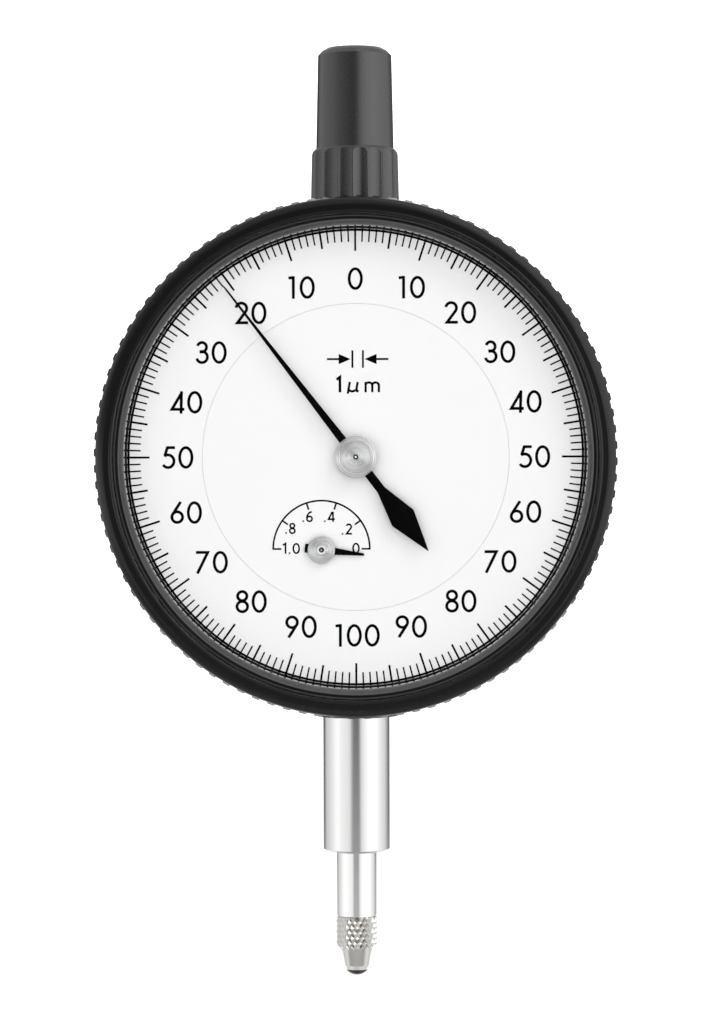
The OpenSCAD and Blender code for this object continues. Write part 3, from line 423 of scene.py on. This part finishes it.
# %% Sockets that can be added and multiplied
class Socket:
    """One output of a node. Arithmetic with it and with another, or with a plain number on either side
    of it, adds a Math node. A comparison adds one that gives 1 or 0."""

    def __init__(self, finish, source):
        self.finish, self.source = finish, source

    def math(self, operation, first, second=0.0):
        return self.finish.node("ShaderNodeMath", {"operation": operation}, {0: first, 1: second})

    def __add__(self, other):
        return self.math("ADD", self, other)

    def __radd__(self, other):
        return self.math("ADD", other, self)

    def __sub__(self, other):
        return self.math("SUBTRACT", self, other)

    def __rsub__(self, other):
        return self.math("SUBTRACT", other, self)

    def __mul__(self, other):
        return self.math("MULTIPLY", self, other)

    def __rmul__(self, other):
        return self.math("MULTIPLY", other, self)

    def __truediv__(self, other):
        return self.math("DIVIDE", self, other)

    def __rtruediv__(self, other):
        return self.math("DIVIDE", other, self)

    def __pow__(self, other):
        return self.math("POWER", self, other)

    def __neg__(self):
        return 0.0 - self

    def __gt__(self, other):
        return self.math("GREATER_THAN", self, other)

    def __lt__(self, other):
        return self.math("LESS_THAN", self, other)


def larger(first, second):
    """The larger of a socket and another socket or number."""
    return first.math("MAXIMUM", first, second)


print("sockets add, subtract, multiply, divide, raise and compare, and give the larger of two")

# %% [markdown]
# ## A finish and its nodes
# The second class holds the material, or the world, that the nodes go into. One method adds any node,
# whatever its type, and the few that are needed again and again have a name: the place on the piece,
# the kind of ray, a blend of two colours, and a ramp of greys by radius.

# %% A material whose nodes come from one method
class Finish:
    """A material, or the world, and its nodes. A node's settings come first, then the values or links
    of its inputs, by name or number, and what is given back is the output asked for."""

    def __init__(self, owner):
        self.owner = owner
        owner.use_nodes = True
        self.tree = owner.node_tree
        self.tree.nodes.clear()

    def node(self, kind, settings=None, inputs=None, output=0):
        """Add one node. "stops" is the one setting of our own: pairs of place and grey for a ramp."""
        made = self.tree.nodes.new(kind)
        for key, value in (settings or {}).items():
            if key == "stops":
                stops = made.color_ramp.elements
                stops[0].position, stops[-1].position = value[0][0], value[-1][0]
                points = [stops[0], *(stops.new(place) for place, _ in value[1:-1]), stops[-1]]
                for point, (_, grey) in zip(points, value):
                    point.color = (grey, grey, grey, 1)
            else:
                setattr(made, key, value)
        for key, value in (inputs or {}).items():
            if isinstance(value, Socket):
                self.tree.links.new(value.source, made.inputs[key])
            else:
                made.inputs[key].default_value = value
        return Socket(self, made.outputs[output])

    def place(self):
        """The place on the piece, in the gauge's own metres."""
        return self.node("ShaderNodeTexCoord", output="Object")

    def ray(self, kind):
        """1 for rays of one kind, and 0 for all others."""
        return self.node("ShaderNodeLightPath", output=f"Is {kind} Ray")

    def blend(self, mask, first, second):
        """A colour between two, by a mask from 0 to 1."""
        return self.node("ShaderNodeMix", {"data_type": "RGBA"}, {0: mask, 6: first, 7: second}, 2)

    def by_radius(self, radius, greys):
        """A ramp through pairs of radius and grey: straight lines between the listed radii."""
        first, last = greys[0][0], greys[-1][0]
        stops = [((r - first) / (last - first), grey) for r, grey in greys]
        return self.node("ShaderNodeValToRGB", {"stops": stops}, {0: (radius - first) / (last - first)})

    def end(self, surface, kind="ShaderNodeOutputMaterial"):
        """Link the surface to the output, and give back the material or the world that is now done."""
        self.tree.links.new(surface.source, self.tree.nodes.new(kind).inputs["Surface"])
        return self.owner


print("a finish starts empty and ends in an output")

# %% [markdown]
# ## Where a pattern lies
# Tool marks follow the tool. On a turned face they are rings about the middle, on a ground stem rings
# about its length, and on a moulding or a paint there is no direction, only fine cells. So three
# patterns are enough. They read Object coordinates: every object stands at the origin, so those are
# the gauge's own metres, and a pattern can be centred on the axis of the piece.

# %% Three patterns
RING_CONTRAST = 2.5     # how much stronger the rings are than plain noise
DRAWN_OUT = 0.03        # a ground line is drawn out round the cylinder by one over this


def cells(finish, size, detail=3.0):
    """Fractal noise whose cells are about `size` mm across, from 0 to 1."""
    return finish.node("ShaderNodeTexNoise", {}, {
        "Vector": finish.place(), "Scale": 1 / (size * MM), "Detail": detail})


def from_axis(finish, centre=(0.0, 0.0)):
    """The distance in mm from an axis along Y: the length of the place with its Y taken out. The axis
    goes through `centre`, across and up in mm from the dial's middle."""
    middle = (-centre[0] * MM, 0, -(dial_z + centre[1]) * MM)
    moved = finish.node("ShaderNodeMapping", {}, {"Vector": finish.place(), "Location": middle})
    flat = finish.node("ShaderNodeVectorMath", {"operation": "MULTIPLY"}, {0: moved, 1: (1, 0, 1)})
    return finish.node("ShaderNodeVectorMath", {"operation": "LENGTH"}, {0: flat}, "Value") / MM


def turned_rings(finish, size, centre=(0.0, 0.0)):
    """Rings about a dial or a boss, `size` mm apart: noise along the distance from the axis, with its
    contrast raised about its mean of a half."""
    noise = finish.node("ShaderNodeTexNoise", {"noise_dimensions": "1D"}, {
        "W": from_axis(finish, centre) / size, "Scale": 1.0, "Detail": 2.0})
    return (noise - 0.5) * RING_CONTRAST + 0.5


def ground_lines(finish, size):
    """Lines that run round a ground cylinder, `size` mm apart: noise squeezed along the cylinder."""
    squeeze = [DRAWN_OUT / (size * MM), DRAWN_OUT / (size * MM), 1 / (size * MM)]
    squeezed = finish.node("ShaderNodeVectorMath", {"operation": "MULTIPLY"}, {
        0: finish.place(), 1: squeeze})
    return finish.node("ShaderNodeTexNoise", {}, {"Vector": squeezed, "Scale": 1.0, "Detail": 2.0})


print("cells, rings and lines")

# %% [markdown]
# ## One finish from one pattern
# One pattern changes colour, roughness and relief together, so that they agree as on a real surface:
# a ridge is a little darker and rougher than the smooth ground between two. Two things can be added:
# painted shade in the colour, and a painted highlight on a tiny chamfer, the same whichever way it is
# turned.

# %% A coat
GLINT_COLOUR = (0.95, 0.95, 0.95, 1)      # painted highlight: the colour of a chamfer that looks lit
finishes = {}


def coat(name, colour, rough, relief, pattern, size, metal=0.0, shade=0.85, spread=0.12, specular=0.5,
         painted_shade=None, bright=None):
    """The colour falls to `shade` of itself and the roughness rises by `spread`, with `rough` in its
    middle, where the pattern is high, and the pattern stands `relief` mm proud. The last two arguments,
    if given, paint shade into the colour and mark where a chamfer gets a painted highlight."""
    finish = Finish(bpy.data.materials.new(name))
    mask = pattern(finish, size)
    base = finish.blend(mask, (*colour, 1), (*(c * shade for c in colour), 1))
    # painted shade, where a function for it is given
    base = painted_shade(finish, base) if painted_shade else base
    # a painted highlight: near white and not metal, where the mask is 1
    if bright:
        glint = bright(finish)
        base, metal = finish.blend(glint, base, GLINT_COLOUR), metal * (1.0 - glint)
    bump = finish.node("ShaderNodeBump", {}, {"Height": mask, "Distance": relief * MM, "Strength": 1.0})
    finishes[name] = finish.end(finish.node("ShaderNodeBsdfPrincipled", {}, {
        "Base Color": base, "Roughness": mask * spread + (rough - spread / 2), "Metallic": metal,
        "Normal": bump, "Specular IOR Level": specular}))


print("one function makes a coat")

# %% [markdown]
# ## The dial's margin
# A dial is white where it is read. Its outermost millimetre lies under the crystal's wall and the
# bezel, and there the colour is painted shade: the white falls through greys to a dark edge, as the
# wall's shade would have it. A step finds that margin by its distance from the middle, and a colour
# ramp, written as pairs of radius and grey, gives its bands.

# %% White inside, painted shade outside
MARGIN_SHADE = [(26.97, 0.9), (27.03, 0.5), (27.09, 0.27), (27.18, 0.17), (27.5, 0.14), (27.6, 0.125),
          (27.78, 0.11)]


def printed_white(finish, colour):
    """`colour` where the distance from the middle is less than the margin's first radius, and beyond it
    the margin's bands of painted shade."""
    radius = from_axis(finish)
    return finish.blend(radius > MARGIN_SHADE[0][0], colour, finish.by_radius(radius, MARGIN_SHADE))


print("margin from", MARGIN_SHADE[0][0], "to", MARGIN_SHADE[-1][0], "mm, of", round(dial_r, 2))

# %% [markdown]
# ## Paint, plastic and ink
# The bezel and the cap are black mouldings with a fine spark-eroded skin: hardly shiny, and never
# perfectly black. The dial is matt white paint. Ink and hands are flat black. All of them are
# insulators, so the colour is in the base and the highlights stay white.

# %% Insulators: colour, roughness, relief in mm, pattern and its size in mm
coat("case_paint", (0.045, 0.045, 0.05), 0.42, 0.004, cells, 0.35)
coat("bezel_black", (0.003, 0.003, 0.0033), 0.21, 0.0008, cells, 0.12, specular=0.37)
coat("cap_black", (0.008, 0.008, 0.0083), 0.28, 0.0007, cells, 0.15, specular=1.0)
# the dial's margin is painted shade
coat("dial_white", (0.92, 0.92, 0.92), 0.55, 0.0006, cells, 0.09, shade=0.985, specular=0.3,
     painted_shade=printed_white)
coat("hand_black", (0.0015, 0.0015, 0.0015), 0.60, 0.0005, cells, 0.08, specular=0.01)
coat("seal_rubber", (0.02, 0.02, 0.02), 0.65, 0.003, cells, 0.2)
coat("jewel_ruby", (0.45, 0.01, 0.05), 0.08, 0.0002, cells, 0.1, shade=0.6, spread=0.04)
print(len(finishes), "insulating finishes")

# %% [markdown]
# ## Ground, turned and polished metal
# A metal's colour is in its reflection. What tells one finish from another is the direction and the
# depth of its marks: the stem is ground round its length, the bosses and the back are turned, the
# plates are grained, and the screws and pinions are nearly polished. Round the counter's arbor the
# small boss is chamfered, and on that ring a painted highlight, near white and not metal, makes it
# shine from every side.

# %% Metals: colour, roughness, relief in mm, pattern and its size in mm
GLINT_RING = (0.25, 0.50)      # inner and outer radius of the painted highlight about the counter's arbor, in mm


def metal_coat(name, colour, rough, relief, pattern, size, shade=0.9, **more):
    """A coat that is all metal and falls to nine tenths of its colour, unless `shade` says otherwise."""
    coat(name, colour, rough, relief, pattern, size, metal=1.0, shade=shade, **more)


def counter_rings(finish, size):
    """Turned rings about the counter's axis instead of the dial's."""
    return turned_rings(finish, size, counter)


def counter_chamfer(finish):
    """1 between the chamfer's two radii, where the highlight is painted: the product of two comparisons.
    """
    radius = from_axis(finish, counter)
    return (radius > GLINT_RING[0]) * (radius < GLINT_RING[1])


metal_coat("stem_steel", (0.65, 0.65, 0.647), 0.13, 0.0002, ground_lines, 0.05, 0.95, spread=0.06)
metal_coat("spindle_steel", (0.71, 0.71, 0.706), 0.09, 0.0001, ground_lines, 0.04, 0.96, spread=0.05)
metal_coat("point_chrome", (0.95, 0.93, 0.90), 0.16, 0.0006, cells, 0.1, spread=0.10)
metal_coat("ball_carbide", (0.07, 0.067, 0.065), 0.12, 0.0001, cells, 0.15, spread=0.06)
metal_coat("boss_silver", (0.86, 0.865, 0.865), 0.30, 0.045, turned_rings, 0.13, 0.84, spread=0.16)
# the small boss, with a painted highlight on its chamfer
metal_coat("boss_silver_small", (0.80, 0.805, 0.805), 0.30, 0.035, counter_rings, 0.13, 0.84, spread=0.16,
           bright=counter_chamfer)
metal_coat("cover_aluminium", (0.62, 0.63, 0.64), 0.36, 0.002, turned_rings, 0.12, 0.88)
metal_coat("screw_steel", (0.58, 0.57, 0.55), 0.24, 0.0008, cells, 0.08)
metal_coat("plate_brass", (0.78, 0.60, 0.30), 0.34, 0.0015, ground_lines, 0.06, 0.88)
metal_coat("wheel_brass", (0.80, 0.60, 0.27), 0.26, 0.0010, turned_rings, 0.07)
metal_coat("bush_bronze", (0.66, 0.45, 0.25), 0.32, 0.0010, ground_lines, 0.05)
metal_coat("pinion_steel", (0.58, 0.58, 0.59), 0.20, 0.0005, cells, 0.05, 0.92)
metal_coat("spring_steel", (0.42, 0.43, 0.47), 0.28, 0.0005, cells, 0.06)
print(len(finishes), "finishes with the metals")

# %% [markdown]
# ## Two pivots seen end on
# In the middle of each boss the end of an arbor shows. Its dome would catch the light in one small
# spot, and round the spot the hole would be in shade; here both are painted. They are so small that a
# mask on the distance from the arbor's axis is enough: inside it a painted highlight, a bright,
# diffuse dot, and outside it painted shade, a nearly black metal.

# %% Pivot ends
HOLE_SHADE = (0.02, 0.02, 0.02, 1)      # painted shade: the dark round the highlight


def pivot(name, centre, highlight, radius):
    """Painted shade, a dark metal, whose middle, within `radius` mm of the axis, is a painted highlight:
    a matt dot of the brightness given by the third argument.
    """
    finish = Finish(bpy.data.materials.new(name))
    inside = from_axis(finish, centre) < radius
    finishes[name] = finish.end(finish.node("ShaderNodeBsdfPrincipled", {}, {
        "Base Color": finish.blend(inside, HOLE_SHADE, (highlight, highlight, highlight, 1)),
        "Roughness": inside * 0.3 + 0.3, "Metallic": 1.0 - inside}))


pivot("pivot_pointer", (0.0, 0.0), 0.95, 0.13)
pivot("pivot_counter", counter, 0.35, 0.12)
print(len(finishes), "finishes with two pivots")

# %% [markdown]
# ## The crystal
# The crystal is a clear moulding: a window with a skirt whose wall shows as rings of light and dark
# by refraction, so it is real glass here, with its thickness. Glass has one trouble in a path
# tracer: light that bends in it rarely finds the dial. The usual answer is a Transparent shader for
# shadow and diffuse rays only, so that lamps and sky reach the dial straight through.

# %% A window that lets the lamps through
clear = Finish(bpy.data.materials.new("crystal_clear"))
scuffs = cells(clear, 0.5, 4.0)
glass = clear.node("ShaderNodeBsdfPrincipled", {}, {
    "Base Color": (0.99, 0.99, 0.99, 1), "Roughness": scuffs * 0.02, "IOR": 1.49,
    "Transmission Weight": 1.0})
through = clear.node("ShaderNodeBsdfTransparent", {}, {"Color": (0.985, 0.985, 0.985, 1)})
lighting = larger(clear.ray("Shadow"), clear.ray("Diffuse"))
window = clear.node("ShaderNodeMixShader", {}, {0: lighting, 1: glass, 2: through})
print("a window, clear to lamps and sky")

# %% [markdown]
# ## Painted shade on the crystal's rim
# The outermost edge of the crystal has painted shade, a dark band, with a painted highlight, a bright
# line near its outer edge. It is a second shader, mixed in beyond a radius, and its tone is a ramp by
# radius. Only the front of the rim has it: on the back it would show through the glass as a band.

# %% Painted shade and highlight on the front of the rim
# radius and grey: painted shade, and a painted highlight from 27.92 to 28.02 mm
RIM_SHADE = [(27.36, 0.08), (27.48, 0.06), (27.6, 0.02), (27.7, 0.008), (27.85, 0.012), (27.92, 0.13),
           (28.02, 0.13), (28.08, 0.01)]
RIM_SHADE_FROM = 13.5     # how far forward of the stem's axis the painted shade starts, in mm
edge = from_axis(clear)
backward = clear.node("ShaderNodeSeparateXYZ", {}, {0: clear.place()}, "Y")
shaded_rim = (backward < -RIM_SHADE_FROM * MM) * (edge > RIM_SHADE[0][0])
rim_paint = clear.node("ShaderNodeBsdfPrincipled", {}, {
    "Base Color": clear.by_radius(edge, RIM_SHADE), "Roughness": scuffs * 0.1 + 0.25,
    "Specular IOR Level": 0.8})
finishes["crystal_clear"] = clear.end(clear.node("ShaderNodeMixShader", {}, {
    0: shaded_rim, 1: window, 2: rim_paint}))
print("sealed beyond", RIM_SHADE[0][0], "mm")

# %% [markdown]
# ## Every piece gets its finish
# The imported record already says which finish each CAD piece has. Reading it keeps the scene and the
# model in step: a piece that is renamed or added gets its finish with no change here. Three small
# pieces have a finish of their own, because their pattern is centred on them.

# %% Finishes on the pieces
finish_of = {row["node"]: row["material_slot"] for row in frame["record"]["subparts"]}
finish_of |= {"small_boss": "boss_silver_small", "centre_pinion": "pivot_pointer",
              "counter_arbor": "pivot_counter"}
for name, node in nodes.items():
    node.data.materials.clear()
    node.data.materials.append(finishes[finish_of[name]])
black = (main_scale, main_numbers, counter_scale, division_mark, pointer_point)
for made in black:
    made.data.materials.append(finishes["hand_black"])
joint_bead.data.materials.append(finishes["dial_white"])
print(len(nodes) + len(black) + 1, "pieces have a finish")

# %% [markdown]
# ## The room
# The gauge hangs in front of a white sheet that sweeps down into a floor. The sheet must look white
# without flooding the gauge with light, so what is seen of it is told apart from what lights the
# gauge, by the kind of ray that arrives. It is narrow and starts behind the gauge, because ground
# metal would mirror a floor under it. Round the sheet the world is just as white.

# %% A white sweep behind and below
def sweep(half, front, back, floor, bend, height, rings=25):
    """A profile carried along X, `half` to either side: a floor, a quarter circle of radius `bend`, and
    a wall. The quarter circle's points are its centre plus bend * (sin t, -cos t)."""
    t = np.linspace(0, np.pi / 2, rings)
    y = np.concatenate([[front], back - bend + bend * np.sin(t), [back]])
    z = np.concatenate([[floor], floor + bend - bend * np.cos(t), [floor + height]])
    x = np.array([-half, half])[:, None]
    return np.stack(np.broadcast_arrays(x, y, z), -1)


sheet = sweep(half=0.2, front=0.05, back=1.1, floor=-0.09, bend=0.35, height=1.6)      # in metres
count = sheet.shape[1]
number = np.arange(2 * count).reshape(2, count)
faces = np.stack([number[0, :-1], number[1, :-1], number[1, 1:], number[0, 1:]], -1)
mesh = bpy.data.meshes.new("backdrop")
mesh.from_pydata(sheet.reshape(-1, 3), [], faces)
mesh.polygons.foreach_set("use_smooth", [True] * len(faces))
backdrop = bpy.data.objects.new("backdrop", mesh)
bpy.context.scene.collection.objects.link(backdrop)
backdrop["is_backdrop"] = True
print("sheet of", count, "rings")

# %% Paper that glows for the rays that look at it
PAPER_GLOW = 0.9


def looked_at(finish):
    """1 for the rays that look at something, which are those from the camera, from a mirror and
    through glass, and 0 for those that only gather light."""
    return larger(finish.ray("Camera"), larger(finish.ray("Glossy"), finish.ray("Transmission")))


paper = Finish(bpy.data.materials.new("paper"))
tone = paper.blend(cells(paper, 2.0), (0.80, 0.80, 0.80, 1), (0.78, 0.78, 0.78, 1))
matt = paper.node("ShaderNodeBsdfDiffuse", {}, {"Color": tone})
glow = paper.node("ShaderNodeEmission", {}, {"Strength": looked_at(paper) * PAPER_GLOW})
mesh.materials.append(paper.end(paper.node("ShaderNodeAddShader", {}, {0: matt, 1: glow})))
print("paper glows", PAPER_GLOW, "of white")

# %% [markdown]
# ## The light
# Two things are asked of the light. Dial, paint and mouldings want it soft and from the front, so that
# a colour shows about as it is written. Metal and glass want something to mirror: large panels left and
# right, and between them the dark of the camera, which is the dark line down the middle of the stem.
# One set of lamps can't be tuned for both. So two weak lamps give the shapes a little modelling,
# mirrors don't see them, and the rest is in the world, which can answer each kind of ray on its own.

# %% Two weak lamps
LAMP_SIDE = 0.4
scene = bpy.context.scene


def lamp(name, place, power):
    """A square panel at `place`, in metres, turned to face the middle of the dial, of `power` watts."""
    data = bpy.data.lights.new(name, "AREA")
    data.shape, data.size, data.size_y, data.energy = "RECTANGLE", LAMP_SIDE, LAMP_SIDE, power
    made = bpy.data.objects.new(name, data)
    scene.collection.objects.link(made)
    made.location = place
    aim = Vector((0, 0, dial_z * MM)) - Vector(place)
    made.rotation_euler = aim.to_track_quat("-Z", "Y").to_euler()
    made.visible_glossy = made.visible_transmission = False
    print(f"{name}: {power} W, {aim.length:.2f} m from the dial")


lamp("key", (0.42, -0.62, 0.62), 1.6)
lamp("left_panel", (-0.7, -0.7, 0.05), 0.54)

# %% [markdown]
# ## A studio for polished metal
# A cylinder mirrors the whole room squeezed into its own width, so the stem and the spindle depend
# on how bright the room is to each side, and the bosses and the ball on how bright it is above and
# below. The studio is drawn as two ramps: panels by the angle round the gauge, and table and ceiling
# by the slope of the ray. The brighter of the two is seen.

# %% The studio's panels, table and ceiling
# Degrees to the right of straight in front, and how bright the studio is there
PANELS = [(-180, 0.1), (-150, 0.12), (-142, 0.35), (-129, 1.05), (-103, 1.4), (-88, 1.65), (-79, 1.85),
          (-67, 2.0), (-55, 1.75), (-40, 1.62), (-26, 1.5), (-19, 1.05), (-15.6, 0.65), (-12, 0.4),
          (-8, 0.15), (-5, 0.015), (5, 0.015), (8, 0.25), (11.5, 0.7), (15, 1.2), (18.4, 1.4), (25, 1.6),
          (36, 1.9), (50, 2.1), (66, 2.15), (83, 1.8), (97, 1.5), (114, 1.3), (127, 0.85), (136, 0.5),
          (146, 0.25), (180, 0.1)]
# Slope of the ray, up positive, and how bright the table below and the ceiling above are
BANDS = [(-1, 0.6), (-0.97, 0.6), (-0.9, 0.95), (-0.7, 0.85), (-0.55, 0.42), (-0.25, 0.45), (-0.19, 0.8),
         (-0.134, 0.8), (-0.118, 0.33), (-0.09, 0.3), (-0.07, 0.0), (0.2, 0.0), (0.5, 0.75), (1, 0.9)]
PANEL_LIGHT = 0.8     # how much light a panel of brightness 1 sends
sky = Finish(bpy.data.worlds.new("sky"))
ray = sky.node("ShaderNodeSeparateXYZ", {}, {0: sky.node("ShaderNodeTexCoord", output="Generated")})
across, depth, up = (Socket(sky, ray.source.node.outputs[k]) for k in "XYZ")


def studio(values, low, high, place):
    """Brightness along one direction: a ramp between the listed values, scaled to its brightest."""
    most = max(grey for _, grey in values)
    stops = [((at - low) / (high - low), grey / most) for at, grey in values]
    return sky.node("ShaderNodeValToRGB", {"stops": stops}, {0: place}) * most


def rising(place, start, end):
    """0 below `start`, 1 above `end`, and a straight line between."""
    return sky.node("ShaderNodeMath", {"operation": "MULTIPLY", "use_clamp": True}, {
        0: place - start, 1: 1 / (end - start)})


print(len(PANELS), "stops for the panels and", len(BANDS), "for table and ceiling")

# %% [markdown]
# ## What the metal mirrors
# The angle round the gauge comes from the arc tangent of the ray's two level parts. The left panel
# stands low, so above it only its far end is left. Low down the panels are weaker, and there are none
# in front, under the camera.

# %% The mirrored studio
TURN = 360      # degrees
round_it = sky.node("ShaderNodeMath", {"operation": "ARCTAN2"}, {0: across, 1: -depth}) / (2 * math.pi)
turn = round_it + 0.5                       # 0.5 is straight in front, and rises to the right
left, right = 0.5 - turn, turn - 0.5
far_left = larger(rising(left, 20 / TURN, 130 / TURN), rising(across, 0.0, 0.05))
panels = studio(PANELS, -180, 180, turn) * (1.0 - rising(up, 0.0, 0.08) * (1.0 - far_left))
aside = larger(rising(left, 30 / TURN, 75 / TURN), rising(right, 30 / TURN, 75 / TURN))
panels = panels * (1.0 - rising(-up, 0.2, 0.4) * (1.0 - aside * 0.5))
mirrored = larger(panels, studio(BANDS, -1, 1, up * 0.5 + 0.5)) * PANEL_LIGHT
print("the studio has", len(sky.tree.nodes), "nodes")

# %% [markdown]
# ## What everything else gathers
# A matt surface gathers light from all round it, so its room can be simple: an even sky that grows
# towards the front, as a power of how far forward the ray points. Beside the sheet the camera sees
# plain white, which is a strength of 1.

# %% One world for three kinds of ray
SKY, FRONT, NARROW = 0.224, 4.0, 8.0      # level all round, extra in front, and how narrow that is
soft = larger(-depth, 0.0) ** NARROW * FRONT + SKY
seen_by_metal = larger(sky.ray("Glossy"), sky.ray("Transmission"))
level = soft + seen_by_metal * (mirrored - soft) + sky.ray("Camera") * (1.0 - soft)
scene.world = sky.end(sky.node("ShaderNodeBackground", {}, {"Color": (1, 1, 1, 1), "Strength": level}),
                      "ShaderNodeOutputWorld")
print("sky", SKY, "all round and", SKY + FRONT, "straight in front")

# %% [markdown]
# ## The camera
# A long lens close by: 156 mm on a 36 mm sensor, 0.38 m in front of the spindle and level with the
# dial. The view is shifted rather than the camera turned, so that uprights stay upright, apart from a
# lean of a seventh of a degree.

# %% The camera
SENSOR, LENS = 36.0, 156.4                # mm
SHIFT = (0.01137, -0.07555)               # over the sensor's width
DISTANCE, LEAN = 0.380, 0.0026            # metres and radians
data = bpy.data.cameras.new("camera")
data.sensor_fit, data.sensor_width, data.lens = "HORIZONTAL", SENSOR, LENS
data.shift_x, data.shift_y = SHIFT
data.clip_start, data.clip_end = 0.01, 10.0
camera = bpy.data.objects.new("camera", data)
camera.location = (0, -DISTANCE, dial_z * MM)
camera.rotation_euler = (math.pi / 2, LEAN, 0)
scene.collection.objects.link(camera)
scene.camera = camera
scene.view_settings.view_transform = "Standard"
print("camera", DISTANCE, "m in front, lens", LENS, "mm")

# %% [markdown]
# ## Proof that nothing has grown
# The box of the finished gauge is measured again, and its largest change from the model's box is
# printed. Ink, the pointer's fine point and the bead are the only shapes added. All of them lie inside
# the crystal, so the two boxes are the same.

# %% The two boxes
made_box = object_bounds()
change = max(abs(a - b) for p, q in zip(cad_box, made_box) for a, b in zip(p, q))
print("largest change in mm:", change / MM)
